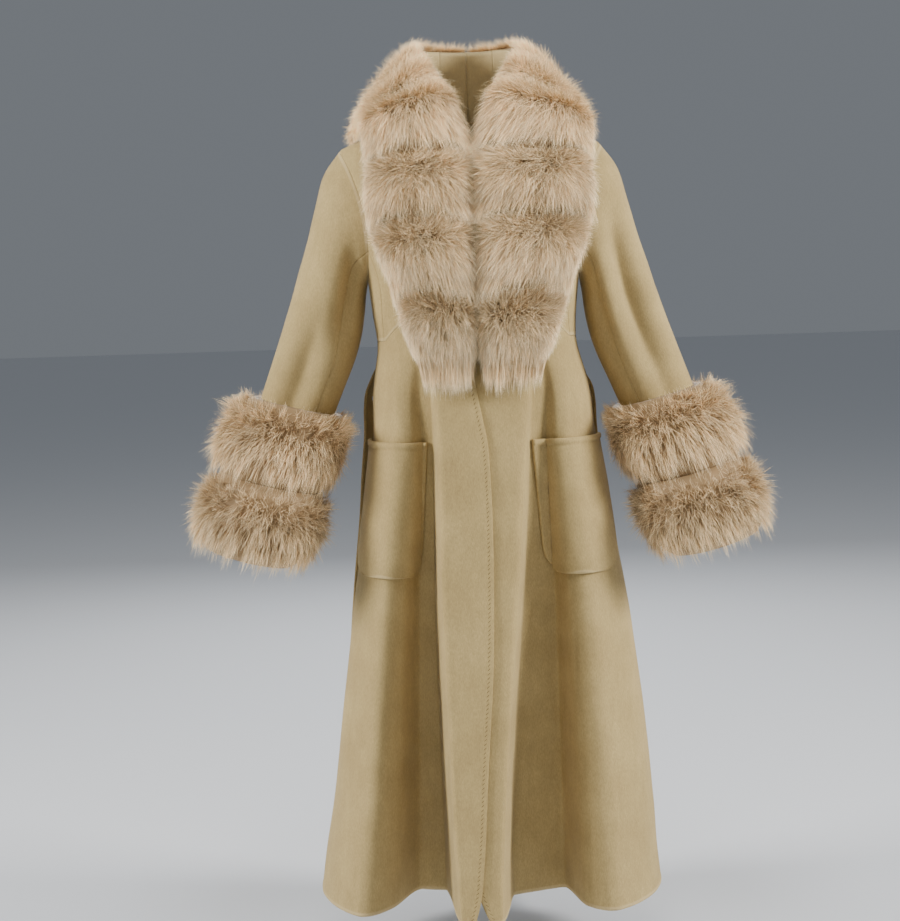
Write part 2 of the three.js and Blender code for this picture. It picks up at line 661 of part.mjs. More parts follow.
// A patch pocket with rounded lower corners, moved out from the panels beneath it
function pocketSolid(side) {
  const { top, bottom, width, topX, bottomX, corner } = POCKET;
  const shares = steps(POCKET_STEPS.down).map((t) => t ** 1.5);
  const heights = [...shares.map((t) => mix(bottom, top - POCKET_ROLL.height, t)), top - 1, top];
  const layer = (sign) =>
    heights.map((z, r) => {
      const inCorner = clamp((bottom + corner - z) / corner, 0, 1);
      const inset = corner * (1 - Math.sqrt(1 - inCorner ** 2));
      const startX = mix(bottomX, topX, (z - bottom) / (top - bottom));
      const distances = steps(POCKET_STEPS.across).map((t) => mix(inset, width - inset, t));
      const thick = CLOTH + (r >= heights.length - 2 ? POCKET_ROLL.thick : 0);
      return walkRound(side, z, startX, distances).map(({ place, point }, i) => {
        const inside = i > 0 && i < distances.length - 1 && r > 0;
        const lift = inside ? POCKET_LIFT.middle : POCKET_LIFT.edge;
        const normal = normalOf((a, b) => bodySurface(side, a, b), place, z, 0.06, 2);
        return point.addScaledVector(normal, lift + (sign > 0 ? thick - CLOTH / 2 : -CLOTH / 2));
      });
    });
  return wallBetween(layer(1), layer(-1));
}

// One band of the fur collar between two of its cross lines
function collarBand(lower, side) {
  const { across, along: rows } = COLLAR_STEPS;
  const indexed = COLLAR.map((row, at) => ({ at, ...row }));
  const widened = (at) => (at < 1 ? (at * (2 - at)) ** COLLAR_TIP : at);
  const read = (name, at) => along(indexed, "at", name, name.endsWith("Angle") ? widened(at) : at);
  const margin = 0.004;
  const inner = [];
  const outer = [];
  for (const step of steps(rows)) {
    const t = lower === 0 ? step ** 1.8 : step;
    const at = lower + clamp(t, margin, 1 - margin);
    const wider = mix(COLLAR_SIDES[side], 1, ease((at - 3) / 3));
    const spread = steps(across).map((p) => {
      const z = mix(read("inZ", at), read("outZ", at), p) + read("arch", at) * Math.sin(Math.PI * p);
      const angle = mix(read("inAngle", at), read("outAngle", at) * wider, p);
      const normal = normalOf(figure, clamp(angle, 3, 177), clamp(z, -1000, 117), 2, 2);
      return figure(angle, z).addScaledVector(normal, read("lift", at));
    });
    const start = spread[0];
    const end = spread[across];
    const chord = end.clone().sub(start);
    const middle = start.clone().add(end).multiplyScalar(0.5);
    const reach = chord.length() / 2 + FUR_OVERHANG * clamp(widened(at), 0, 1);
    chord.normalize();
    const drop = Math.min(middle.z, -20) - 60 * ease((at - 3) / 0.8);
    const away = middle.clone().sub(new THREE.Vector3(0, middle.y * 0.1, drop));
    away.addScaledVector(chord, -away.dot(chord)).normalize();
    const end0 = lower === 0 && t < 0.5 ? TIP_SHARE : GROOVE;
    const puff = read("bulge", at) * (end0 + (1 - end0) * Math.sin(Math.PI * t) ** 0.6);
    inner.push(spread);
    outer.push(
      steps(across).map((p) => {
        const turn = Math.PI * (1 - p);
        const reached = reach * Math.sign(Math.cos(turn)) * Math.abs(Math.cos(turn)) ** 0.8;
        const lean = COLLAR_LEAN * (1 - ease(at - 3)) * (1 - p);
        const rise = away.clone().addScaledVector(chord, -lean).normalize();
        const point = middle.clone().addScaledVector(chord, reached);
        return point.addScaledVector(rise, puff * Math.sin(turn) ** 0.6);
      }),
    );
    const wide = mix(COLLAR_WIDE[side], 1, ease((at - 4.5) / 2));
    for (const point of [...inner.at(-1), ...outer.at(-1)]) point.x *= wide;
  }
  for (const point of [...inner.flat(), ...outer.flat()]) if (point.y < 0) point.x = Math.max(point.x, 0.25);
  return wallBetween(outer, inner, false, across / 2);
}

// Fur that would press into the coat's side stops just clear of it
function clearOfCoat(side, point) {
  const half = along(SECTIONS, "z", "half", point.z) * swing(side, point.z);
  point.x = Math.max(point.x, half + CUFF_CLEAR);
  return point;
}

// One fur band round a sleeve end
function cuffBand(side, { from, to, radius, aside }, first, last) {
  const { round, along: rows } = CUFF_STEPS;
  const inner = [];
  const outer = [];
  const margin = 0.003;
  for (const t of steps(rows)) {
    const at = mix(from, to, clamp(t, margin, 1 - margin));
    const edge = (first && t < 0.5) || (last && t > 0.5) ? CUFF_MOUTH : CUFF_GROOVE;
    const puff = edge + (1 - edge) * Math.sin(Math.PI * t) ** 0.6;
    const reach = Math.min(at, 8);
    const beyond = sleeveMiddle(8).sub(sleeveMiddle(7)).multiplyScalar(at - reach);
    const ring = (grow) =>
      steps(round)
        .slice(1)
        .map((p) => {
          const point = sleeveSurface(360 * p, reach);
          const out = point.clone().sub(sleeveMiddle(reach));
          const way = out.clone().normalize();
          return point.addScaledVector(way, grow(out.length(), way.x)).add(beyond);
        });
    inner.push(ring(() => CUFF_LIFT));
    outer.push(ring((size, sideways) => (radius - size + aside * sideways) * puff).map((point) => clearOfCoat(side, point)));
  }
  return wallBetween(outer, inner, true);
}

// The coat's middle surface and its outward direction at an angle and a height, from the side back
function outsideAt(side, angle, z) {
  const skin = (a, b) => coatPoint(side, a, foldDepth("left", a), b);
  const normal = normalOf(skin, Math.min(angle, 178), z, 1.5, 2);
  if (angle > 178) normal.x = 0;
  return { point: skin(angle, z), normal: normal.normalize() };
}

// The belt, one strip across the back whose two ends hang from the side loops
function beltPoint(at) {
  const read = (name) => along(BELT_ROUTE, "at", name, Math.abs(at));
  const side = at < 0 ? "right" : "left";
  const angle = read("angle") + BELT_TUCK[side] * ease((Math.abs(at) - 2) / 2);
  const { point, normal } = outsideAt(side, angle, read("z"));
  point.addScaledVector(normal, read("out"));
  if (at < 0) {
    point.x *= -1;
    normal.x *= -1;
  }
  return { point, normal, width: read("width") };
}

function beltSolid() {
  const last = BELT_ROUTE.length - 1;
  const places = steps(BELT_STEPS * 2).map((t) => mix(-last, last, t));
  const outer = [];
  const inner = [];
  for (const at of places) {
    const { point, normal, width: wide } = beltPoint(at);
    const ahead = beltPoint(Math.min(at + 0.1, last)).point;
    const run = ahead.sub(beltPoint(Math.max(at - 0.1, -last)).point).normalize();
    const width = normal.clone().cross(run).normalize();
    const face = run.clone().cross(width).normalize();
    const edge = (side, lift) =>
      point.clone().addScaledVector(width, (side * wide) / 2).addScaledVector(face, lift * BELT_THICK);
    outer.push([edge(-1, 0.5), edge(1, 0.5)]);
    inner.push([edge(-1, -0.5), edge(1, -0.5)]);
  }
  return wallBetween(outer, inner);
}

function beltLoop(side) {
  const { angle, middle, width, thick } = BELT_LOOP;
  const layer = (sign) =>
    LOOP_LINE.map(({ up, out }) => {
      const { point, normal } = outsideAt(side, angle, middle + up);
      const beside = new THREE.Vector3(-normal.y, normal.x, 0).normalize();
      point.addScaledVector(normal, out + (sign * thick) / 2);
      return [-0.5, 0.5].map((share) => point.clone().addScaledVector(beside, share * width));
    });
  return wallBetween(layer(1), layer(-1));
}

const coat = new THREE.Group();
const underPhis = steps(SIDE_STEPS).map((t) => mix(SEAM_PHI, 360 - SEAM_PHI, t));
const topPhis = [...armholePhis.map((phi) => -phi), ...armholePhis.slice(0, -1).reverse()];
for (const side of Object.keys(SIDES)) {
  const mirror = SIDES[side] < 0;
  coat.add(piece(`bodice_front_${side}`, bodiceFront(side), WOOL, mirror));
  coat.add(piece(`bodice_side_${side}`, bodiceSide(side), WOOL, mirror));
  coat.add(piece(`skirt_front_${side}`, skirtFront(side), WOOL, mirror));
  coat.add(piece(`sleeve_top_${side}`, sleevePanel(topPhis), WOOL, mirror));
  coat.add(piece(`sleeve_under_${side}`, sleevePanel(underPhis), WOOL, mirror));
  coat.add(piece(`pocket_${side}`, pocketSolid(side), WOOL, mirror));
  coat.add(piece(`belt_loop_${side}`, beltLoop(side), WOOL, mirror));
  CUFF_BANDS.forEach((band, i) => {
    const solid = cuffBand(side, band, i === 0, i === CUFF_BANDS.length - 1);
    coat.add(piece(`cuff_${band.name}_${side}`, solid, FUR, mirror));
  });
  COLLAR.slice(1).forEach((_, i) => coat.add(piece(`collar_${i + 1}_${side}`, collarBand(i, side), FUR, mirror)));
}
coat.add(piece("bodice_back", bodiceBack(), WOOL));
coat.add(piece("skirt_back", skirtBack(), WOOL));
coat.add(piece("belt", beltSolid(), WOOL));

export default coat;
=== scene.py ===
"""A long wool coat with a banded fur shawl collar and fur cuffs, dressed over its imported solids.

Lengths are millimetres and angles are degrees until a mesh is made, and then metres. The surfaces
are the same ones that the solids are cut from, at a finer step. The wearer's left is +X.

A place counts the lines down one half of the body: 0 at the front edge, 8 and 9 at the side's two
seams, and 12 at the centre back. A right piece is shaped on the left and mirrored.
"""

import math
from functools import partial

import bpy
import numpy as np
from mathutils import Matrix, Vector


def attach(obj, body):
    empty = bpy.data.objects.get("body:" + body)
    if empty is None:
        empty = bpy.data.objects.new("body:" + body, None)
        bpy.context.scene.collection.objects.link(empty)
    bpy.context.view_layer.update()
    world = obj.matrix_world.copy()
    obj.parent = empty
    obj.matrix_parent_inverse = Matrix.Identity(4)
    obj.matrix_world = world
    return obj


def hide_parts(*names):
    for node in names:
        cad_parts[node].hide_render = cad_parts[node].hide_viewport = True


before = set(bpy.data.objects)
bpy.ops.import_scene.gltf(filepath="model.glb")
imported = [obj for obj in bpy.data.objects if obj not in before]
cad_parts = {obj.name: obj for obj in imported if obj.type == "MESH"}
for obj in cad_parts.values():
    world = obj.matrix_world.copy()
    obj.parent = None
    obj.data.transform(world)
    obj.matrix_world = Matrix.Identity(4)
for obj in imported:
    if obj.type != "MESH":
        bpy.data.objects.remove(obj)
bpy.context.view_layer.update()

MM = 0.001


def columns(names, *rows):
    """A table as one array for each named column. The others are read by the first."""
    return dict(zip(names.split(), np.array(rows, float).T))


# The cloth
CLOTH = 2.5
# A distance from a felled edge that is past its stitches
FAR_IN = 100.0
GAP = 0.3
HEM = -1195
FOLD_TOP = -345
FOLD_GROWTH = 0.85
ROUND = 2.3
LAP, LAP_TOP, LAP_RUN = 4.5, -160, 60
# From this angle on, over this many degrees, a fold turns from straight back to square on the skin
FOLD_TURN, FOLD_TURN_RUN = 50, 40
SIDE_STRAIGHT_Z = -300
LATTICE = 64
RIPPLE_LONG, RIPPLE_SHORT = 60, 27
SIDES = {"right": -1, "left": 1}
FRONT_END, BACK_START, CENTRE_BACK = 8, 9, 12

# The figure's sections: half its width, and its depths from the mid-plane
SECTIONS = columns(
    "z half front back",
    (HEM, 268, 215, 202),
    (-1062, 252, 202, 190),
    (-880, 230, 181, 172),
    (-726, 210, 163, 155),
    (-573, 185, 146, 138),
    (-481, 171, 134, 126),
    (-420, 168, 124, 113),
    (-385, 161, 117, 102),
    (-340, 152, 112, 92),
    (-290, 156, 122, 99),
    (-239, 162, 132, 109),
    (-142, 187, 122, 116),
    (-60, 199, 103, 110),
    (-45, 198, 98, 106),
    (-30, 160, 90, 98),
    (-15, 118, 78, 87),
    (0, 74, 60, 74),
    (60, 60, 54, 66),
    (120, 54, 50, 62),
)

# The skirt hangs a little to the wearer's left
SWING = columns(
    "z share",
    (HEM, 0),
    (-1152, 0.004),
    (-1060, 0.026),
    (-920, 0.044),
    (-727, 0.056),
    (-600, 0.06),
    (-450, 0.05),
    (-380, 0.03),
    (-300, 0),
)

# How far each front edge lies past the centre line
EDGES = columns(
    "z right left",
    (HEM, -30, 5),
    (-1160, -20, 20),
    (-1110, -14, 30),
    (-970, -3, 38),
    (-800, 11, 42),
    (-600, 16, 45),
    (-495, 13, 45),
    (-444, 4, 45),
    (-388, -6, 44),
    (-250, -14, 12),
    (-142, -28, -28),
    (-45, -48, -48),
    (0, -58, -58),
)

# The fold lines down the skirt: their angles at the waist and hem, and how deep they are pushed in.
# On a front they are crease, turn, near valley, far valley, rise, flute and seam.
FRONT_LINES = {
    "right": columns(
        "waist hem deep",
        (19.5, 7.7, -4),
        (21.2, 8.8, 20),
        (24, 12.5, 158),
        (29.5, 20.8, 158),
        (37.5, 32, 58),
        (51, 48, -6),
        (67, 72, 0),
    ),
    "left": columns(
        "waist hem deep",
        (23.4, 1.2, -4),
        (25, 2.2, 18),
        (28, 5.2, 128),
        (33.5, 21.5, 146),
        (40.5, 29, 46),
        (52, 43.5, -2),
        (67, 72, 0),
    ),
}
LINE_EASE = {"right": 1, "left": 1.75}
# On the back they are side, seam, valley, flute and centre.
BACK_LINES = columns(
    "waist hem deep",
    (90, 90, 0),
    (112, 108, 16),
    (126, 124, 44),
    (152, 152, -8),
    (180, 180, 40),
)

WAIST = columns(
    "place z",
    (0, -266),
    (4, -285),
    (5, -291),
    (6, -300),
    (7, -315),
    (8, -335),
    (12, -338),
)
ARMHOLE_Z, ARMHOLE_HEIGHT = -142, 97
SHOULDER_Z = ARMHOLE_Z + ARMHOLE_HEIGHT
ARMHOLE_TIP_X, ARMHOLE_PIT_X, ARMHOLE_INSET = 198, 162, 18
SEAM_PHI = 125

SLEEVE = columns(
    "at out_x out_z in_x in_z depth y",
    (0, 198, -45, 162, -239, 68, 0),
    (1, 225, -84, 165, -251, 67, 1),
    (2, 242, -142, 168, -268, 64, 2),
    (3, 261, -205, 171, -294, 62, 2),
    (4, 281, -267, 177, -326, 60, 0),
    (5, 301, -330, 190, -366, 57, -5),
    (6, 325, -400, 216, -428, 54, -14),
    (7, 365, -512, 263, -540, 51, -32),
    (8, 402, -624, 305, -652, 49, -50),
)
# The soft troughs down each sleeve: where they lie round it, how wide and deep, and from where to where
TROUGHS = {
    "right": columns(
        "phi width depth start stop",
        (126, 18, 19, 0.5, 5.0),
        (82, 26, 17, 3.7, 7.4),
    ),
    "left": columns(
        "phi width depth start stop",
        (76, 26, 26, 0.2, 7.2),
        (132, 12, 9, 1.8, 6.0),
    ),
}
SLEEVE_END = 8
# How far down the sleeve the armhole's shape carries on
ARMHOLE_REACH = 1.6

# The fur collar's cross lines, from its lower end up to the centre back
COLLAR = columns(
    "at in_angle in_z out_angle out_z bulge arch lift",
    (0, 6, -396, 13.5, -396, 26, -5, 8),
    (1, 2.6, -262, 44, -260, 66, 14, 8),
    (2, 2.3, -152, 55, -156, 74, 16, 7),
    (3, 2.3, -54, 50, -62, 72, 14, 6),
    (4, 30, 34, 66, -34, 58, 14, 7),
    (5, 62, 78, 84, -28, 46, 8, 9),
    (6, 102, 102, 106, -33, 42, 2, 11.5),
    (7, 142, 108, 148, -62, 46, 0, 8),
    (8, 180, 108, 180, -80, 50, 0, 5),
)
COLLAR_BANDS = 8
# Each half's share of the outer line's angle, and of the whole width
COLLAR_SIDES = {"right": 0.95, "left": 1.04}
COLLAR_WIDE = {"right": 0.95, "left": 1.03}
COLLAR_LEAN = 0.42
COLLAR_TIP = 0.56
FUR_OVERHANG = 10
GROOVE = 0.58
TIP_SHARE = 0.3
PAST_CENTRE = -9

# Where each cuff band starts and ends down the sleeve, its radius, and how far it leans out
CUFF_BANDS = {"cuff_upper": (6.18, 7.17, 110, 5), "cuff_lower": (7.17, 8.17, 114, -2)}
CUFF_LIFT = 2.1
CUFF_CLEAR = 11
CUFF_GROOVE = 0.72
CUFF_MOUTH = 0.42

POCKET_TOP, POCKET_BOTTOM, POCKET_WIDTH = -487, -690, 166
POCKET_TOP_X, POCKET_BOTTOM_X, POCKET_CORNER = 76, 92, 38
POCKET_LIFT_EDGE, POCKET_LIFT_MIDDLE, POCKET_LIFT_RUN = 5, 6.4, 14

BELT_THICK = 4
BELT_ROUTE = columns(
    "at angle z out width",
    (0, 180, -384, 6.6, 58),
    (1, 150, -386, 6.6, 58),
    (2, 124, -391, 6.6, 58),
    (3, 112, -400, 7, 48),
    (4, 106, -411, 11, 30),
    (5, 104, -426, 16, 26),
    (6, 106, -452, 18, 36),
    (7, 110, -530, 17, 54),
    (8, 112, -640, 13, 58),
    (9, 113, -780, 13.5, 58),
    (10, 114, -905, 17, 58),
)
BELT_TUCK = 6
BELT_END = 10
# The angle from which the back's normal is taken as straight
BACK_MIDDLE = 178
LOOP_ANGLE, LOOP_MIDDLE, LOOP_WIDTH, LOOP_THICK = 129, -390, 9, 2
LOOP_LINE = columns(
    "at up out",
    (0, -51, 3.2),
    (1, -46, 3.2),
    (2, -41.5, 11.4),
    (3, 36, 11.4),
    (4, 40.5, 3.2),
    (5, 45.5, 3.2),
)

# How thick the cloth is, as a share, at distances in from an edge
SEAM_EDGE = columns("in share", (0, 0.45), (0.6, 0.8), (2, 1), (6, 1))
FELLED_EDGE = columns("in share", (0, 0.5), (0.8, 1.05), (3, 1.25), (5.5, 1.1), (7, 0.92), (10, 1))
HEM_EDGE = columns("in share", (0, 0.5), (0.9, 1.2), (3, 1.5), (5, 1.3), (6.5, 0.85), (10, 1))
POCKET_TOP_EDGE = columns("in share", (0, 0.6), (1.2, 1.5), (4, 1.75), (8, 1.6), (10, 0.9), (13, 1))
LOOP_EDGE = columns("in share", (0, 0.6), (1, 1))
POCKET_EDGE = columns("in share", (0, 0.5), (1, 1.1), (3, 1.3), (6, 1.1), (9, 1))

# The fur: its counts, its hair's width, and the shares of the full reach of its core and shell
FUR_CLUMPS = 1500
CLUMP_HAIRS = 7
HAIR_WIDTH = 0.8
HAIR_WIDTHS = (0.7, 1.25)
HAIR_STEPS = (0, 0.55, 1)
CORE = 0.46
SHELL = 0.6
COLLAR_GRID = (14, 28)
CUFF_GRID = (12, 48)
FUR_SEED = 11
CUFF_SEED = 300
SIDE_SEED = 40
# How far the parting wanders along and across a band, and the arch in which the collar's hair ends
SWAY_T, SWAY_P = 0.05, 0.14
ARCH = 0.2
ARCH_MEAN = 0.64
# Where the clumps lie along a band
BAND_RUN = (-0.04, 1.04)
CUFF_TOP_RUN = (-0.12, 1.04)
# How widely the roots and tips scatter along a band, and across a collar or a cuff band
ROOT_SCATTER, TIP_SCATTER = 0.06, 0.03
COLLAR_SCATTER = (0.03, 0.024)
CUFF_SCATTER = (0.008, 0.007)
COMB_REACH = (0.1, 1.6)
# The hair's length as a share of the full reach, by clump and by hair, and what a stray hair adds
CLUMP_LENGTH = (0.86, 1.0)
HAIR_LENGTH = (0.86, 1.05)
STRAY_LENGTH = (0.04, 0.3)
STRAY_SHARE = 0.2
MOUTH_FLUFF = 0.55
CENTRE_FLUFF = 11
# The collar's lower end: where the surface stops, how far the hair hangs past it and how raggedly
END_AT = 0.1
END_DROP = 134
END_RAGGED = 0.09
# The tone of a hair: the least, the spread by clump and by hair, a pale hair's, and the rim's
TONE_LEAST = 0.14
CLUMP_TONE = 0.3
HAIR_TONE = 0.15
PALE_TONE, PALE_SHARE = 0.45, 0.34
RIM_TONE = 0.24
SHELL_TONE, SHELL_DEPTH = 0.4, 0.26
# Each band's hair: where it parts, how far it is combed down, how far its roots spread and its tone
FUR_BANDS = {
    "collar_1": (0.76, -0.06, 0.4, -0.1),
    "collar_2": (0.74, -0.1, 0.4, -0.04),
    "collar_3": (0.74, -0.09, 0.42, 0.02),
    "collar_4": (0.72, -0.08, 0.45, 0.14),
    "collar_5": (0.62, -0.03, 0.66, 0.28),
    "collar_6": (0.52, 0.0, 0.74, 0.32),
    "collar_7": (0.5, 0.0, 0.74, 0.22),
    "collar_8": (0.5, 0.0, 0.74, 0.2),
    "cuff_upper": (0.36, 0.06, 0.5, 0.16),
    "cuff_lower": (0.34, 0.08, 0.5, -0.08),
}

# How finely the cloth is meshed: the columns between two places, and the rows
FRONT_COUNTS = (4, 4, 5, 14, 10, 12, 14, 14)
SIDE_COUNT = 16
BACK_COUNTS = (12, 18, 16)
SKIRT_ROWS, SIDE_ROWS = 70, 20
BODICE_LOW_ROWS, ARMHOLE_ROWS, SHOULDER_ROWS = 16, 30, 12
SLEEVE_ROWS, SLEEVE_TOP_COLUMNS, SLEEVE_UNDER_COLUMNS = 90, 70, 40
POCKET_ROWS, POCKET_COLUMNS = 48, 40
WALK_FROM, WALK_COUNT = 4, 1100
BELT_COLUMNS, BELT_ROWS = 260, 12
LOOP_ROWS, LOOP_COLUMNS = 60, 7

# The looks
WOOL_DARK = (0.36, 0.262, 0.11)
WOOL_LIGHT = (0.43, 0.318, 0.138)
# The colour of the painted highlight along each cloth piece's lowest edge
WOOL_EDGE_HIGHLIGHT = (0.56, 0.44, 0.24)
WOOL_STITCH = (0.12, 0.08, 0.03)
WOOL_SHEEN = (1.0, 0.93, 0.78)
FUR_RAMP = (
    (0.0, (0.17, 0.105, 0.048)),
    (0.42, (0.47, 0.32, 0.165)),
    (0.78, (0.82, 0.62, 0.36)),
    (1.0, (1.0, 0.87, 0.6)),
)
FUR_SHEEN = (1.0, 0.93, 0.85)
# The hand stitches along a felled edge, in millimetres: half their step, half their length, and how
# far in from the edge they lie
STITCH_STEP, STITCH_HALF, STITCH_FROM, STITCH_TO = 3.2, 0.75, 5.2, 8.4
# The scales of the materials' noise
MOTTLE_SCALE, NAP_SCALE, PATCH_SCALE, FUR_PATCH_SCALE = 14, 620, 90, 22
BUMP_STRENGTH, BUMP_DEPTH = 0.35, 0.0009

# The stage, in metres
CAMERA_AIM = Vector((-0.045, 0.0, -0.525))
CAMERA_FROM = Vector((-0.045, -2.8, -0.255))
CAMERA_ROLL = -1.83
CAMERA_LENS = 47.0
CAMERA_SENSOR = 24
FLOOR_Z, FLOOR_HALF = -1.3, 30
FLOOR_COLOR = (0.6, 0.62, 0.65)
WORLD_COLOR, WORLD_STRENGTH = (0.84, 0.91, 1.0), 0.2
SUN_STRENGTH, SUN_SPREAD = 0.2, 60
LIGHTS = (
    # name, place, aim, size, watts, colour
    ("key_left", (-3.1, -1.0, 0.9), (0, 0, -0.5), 0.9, 172, (1.0, 0.98, 0.95)),
    ("key_right", (3.1, -1.0, 0.9), (0, 0, -0.5), 0.9, 200, (1.0, 0.98, 0.95)),
    ("top", (0.0, -1.3, 2.4), (0, 0, -0.3), 0.9, 32, (1.0, 1.0, 1.0)),
    ("back", (0.0, 3.2, 1.0), (0, 0, -0.5), 1.6, 60, (1.0, 1.0, 1.0)),
)


# Curves and the coat's surfaces
def smooth_curve(xs, ys, x):
    """The values at x of the smooth curve through the points, which never overshoots them."""
    x = np.clip(x, xs[0], xs[-1])
    width = np.diff(xs)
    rise = np.diff(ys) / width
    a, b = rise[:-1], rise[1:]
    p = (a * width[1:] + b * width[:-1]) / (width[1:] + width[:-1])
    least = np.minimum(np.minimum(np.abs(a), np.abs(b)), 0.5 * np.abs(p))
    slope = np.concatenate(([rise[0]], (np.sign(a) + np.sign(b)) * least, [rise[-1]]))
    i = np.clip(np.searchsorted(xs, x, side="right") - 1, 0, len(xs) - 2)
    w = width[i]
    t = (x - xs[i]) / w
    start = ys[i] * (2 * t**3 - 3 * t**2 + 1) + slope[i] * w * (t**3 - 2 * t**2 + t)
    end = ys[i + 1] * (3 * t**2 - 2 * t**3) + slope[i + 1] * w * (t**3 - t**2)
    return start + end


def read(table, name, at):
    return smooth_curve(next(iter(table.values())), table[name], at)


def ease(t):
    t = np.clip(t, 0, 1)
    return t * t * (3 - 2 * t)


def mix(a, b, t):
    return a + (b - a) * t


def unit(v):
    return v / np.maximum(np.linalg.norm(v, axis=-1, keepdims=True), 1e-9)


def stack(x, y, z):
    return np.stack(np.broadcast_arrays(x, y, z), axis=-1).astype(float)


def power(v, exponent):
    return np.sign(v) * np.abs(v) ** exponent


def figure(angle, z):
    """The figure's skin at an angle from the front and a height."""
    half = read(SECTIONS, "half", z)
    s, c = np.sin(np.radians(angle)), np.cos(np.radians(angle))
    depth = np.where(c > 0, read(SECTIONS, "front", z), read(SECTIONS, "back", z))
    return stack(half * power(s, 2 / ROUND), -depth * power(c, 2 / ROUND), z)


def angle_at(x, z):
    share = np.clip(np.abs(x) / read(SECTIONS, "half", z), 0, 1)
    return np.sign(x) * np.degrees(np.arcsin(share ** (ROUND / 2)))


def fold_share(z):
    return np.clip((FOLD_TOP - z) / (FOLD_TOP - HEM), 0, 1) ** FOLD_GROWTH


def swing(side, z):
    return 1 + SIDES[side] * read(SWING, "share", z)


def coat_point(side, angle, deep, z):
    """The figure's skin, pushed in by a fold. Front folds go straight back."""
    aim = np.radians(angle * ease((np.abs(angle) - FOLD_TURN) / FOLD_TURN_RUN))
    push = deep * fold_share(z)
    point = figure(angle, z) + stack(-np.sin(aim) * push, np.cos(aim) * push, 0)
    point[..., 0] *= swing(side, z)
    return point


def armhole_at(phi):
    """The armhole's height and angle at phi from its top, towards the front."""
    c, s = np.cos(np.radians(phi)), np.sin(np.radians(phi))
    z = ARMHOLE_Z + ARMHOLE_HEIGHT * c
    x = mix(ARMHOLE_TIP_X, ARMHOLE_PIT_X, (1 - c) / 2) - ARMHOLE_INSET * s**2
    angle = angle_at(x, z)
    return z, np.where(s >= 0, angle, 180 - angle)


def armhole_point(phi):
    z, angle = armhole_at(phi)
    return figure(angle, z)


SEAM_TOP_Z, SEAM_TOP_ANGLE = (float(v) for v in armhole_at(SEAM_PHI))
SIDE_SEAM = columns(
    "z angle",
    (FOLD_TOP, 67),
    (-290, 61.5),
    (-250, 60),
    (SEAM_TOP_Z, SEAM_TOP_ANGLE),
)


def front_bound(z):
    """The angle where a front ends at the side, at heights."""
    up = np.clip((z - ARMHOLE_Z) / ARMHOLE_HEIGHT, -1, 1)
    by_armhole = armhole_at(np.degrees(np.arccos(up)))[1]
    below = np.where(z >= SEAM_TOP_Z, by_armhole, read(SIDE_SEAM, "angle", z))
    return np.where(z >= SHOULDER_Z, 90, below)


def back_bound(z):
    t = ease((SEAM_TOP_Z - z) / (SEAM_TOP_Z - FOLD_TOP))
    low = mix(180 - SEAM_TOP_ANGLE, BACK_LINES["waist"][1], t)
    return np.where(z >= SEAM_TOP_Z, 180 - front_bound(z), low)


def line_angle(waist, hem, z, exponent=1.0):
    t = np.clip((FOLD_TOP - z) / (FOLD_TOP - HEM), 0, 1)
    return hem + (waist - hem) * (1 - t) ** exponent


def front_angles(side, z):
    """The angles of a front's lines: its edge, the middle of its lap, then FRONT_LINES."""
    lines = FRONT_LINES[side]
    edge = angle_at(-read(EDGES, side, z), z)
    low = np.minimum(z, FOLD_TOP)
    angles = [line_angle(a, b, low, LINE_EASE[side]) for a, b in zip(lines["waist"], lines["hem"])]
    top = float(FOLD_TOP)
    start = angle_at(-read(EDGES, side, top), top)
    stretch = (front_bound(z) - edge) / (angles[-1] - start)
    angles = [np.where(z > FOLD_TOP, edge + (angle - start) * stretch, angle) for angle in angles]
    return np.stack([edge, (edge + angles[0]) / 2, *angles])


def back_angles(z):
    low = np.minimum(z, FOLD_TOP)
    rows = list(zip(BACK_LINES["waist"], BACK_LINES["hem"]))[1:]
    lines = [line_angle(a, b, low) for a, b in rows]
    shrink = (180 - back_bound(z)) / (180 - lines[0])
    return np.stack([np.where(z > FOLD_TOP, 180 - (180 - a) * shrink, a) for a in lines])


def between(lines, place):
    """Reads stacked lines between two of them, at places such as 2.5."""
    i = np.clip(np.floor(place).astype(int), 0, len(lines) - 2)
    low = np.take_along_axis(lines, i[None], 0)[0]
    high = np.take_along_axis(lines, i[None] + 1, 0)[0]
    return mix(low, high, place - i)


def along(values, place):
    """Reads a row of values between two of them, at places such as 2.5."""
    i = np.clip(np.floor(place).astype(int), 0, len(values) - 2)
    return mix(values[i], values[i + 1], place - i)


def depth_lines(side):
    """The angles at the hem of all the lines round the body, and how deep each is pushed in."""
    edge = float(angle_at(-EDGES[side][0], float(HEM)))
    lines = FRONT_LINES[side]
    back_hems, back_deeps = BACK_LINES["hem"], BACK_LINES["deep"]
    angles = [edge, (edge + lines["hem"][0]) / 2, *lines["hem"], *back_hems, *(360 - back_hems[-2::-1])]
    deeps = [lines["deep"][0]] * 2 + [*lines["deep"], *back_deeps, *back_deeps[-2::-1]]
    return np.array(angles), np.array(deeps)


DEPTH_LINES = {side: depth_lines(side) for side in SIDES}


def fold_depth(side, hem_angle):
    return smooth_curve(*DEPTH_LINES[side], hem_angle)


def front_surface(side, place, z):
    hem_angle = along(DEPTH_LINES[side][0][: FRONT_END + 1], place)
    point = coat_point(side, between(front_angles(side, z), place), fold_depth(side, hem_angle), z)
    if side == "right":
        point[..., 1] -= LAP * (1 - ease((place - 2) / 2)) * ease((LAP_TOP - z) / LAP_RUN)
    return point


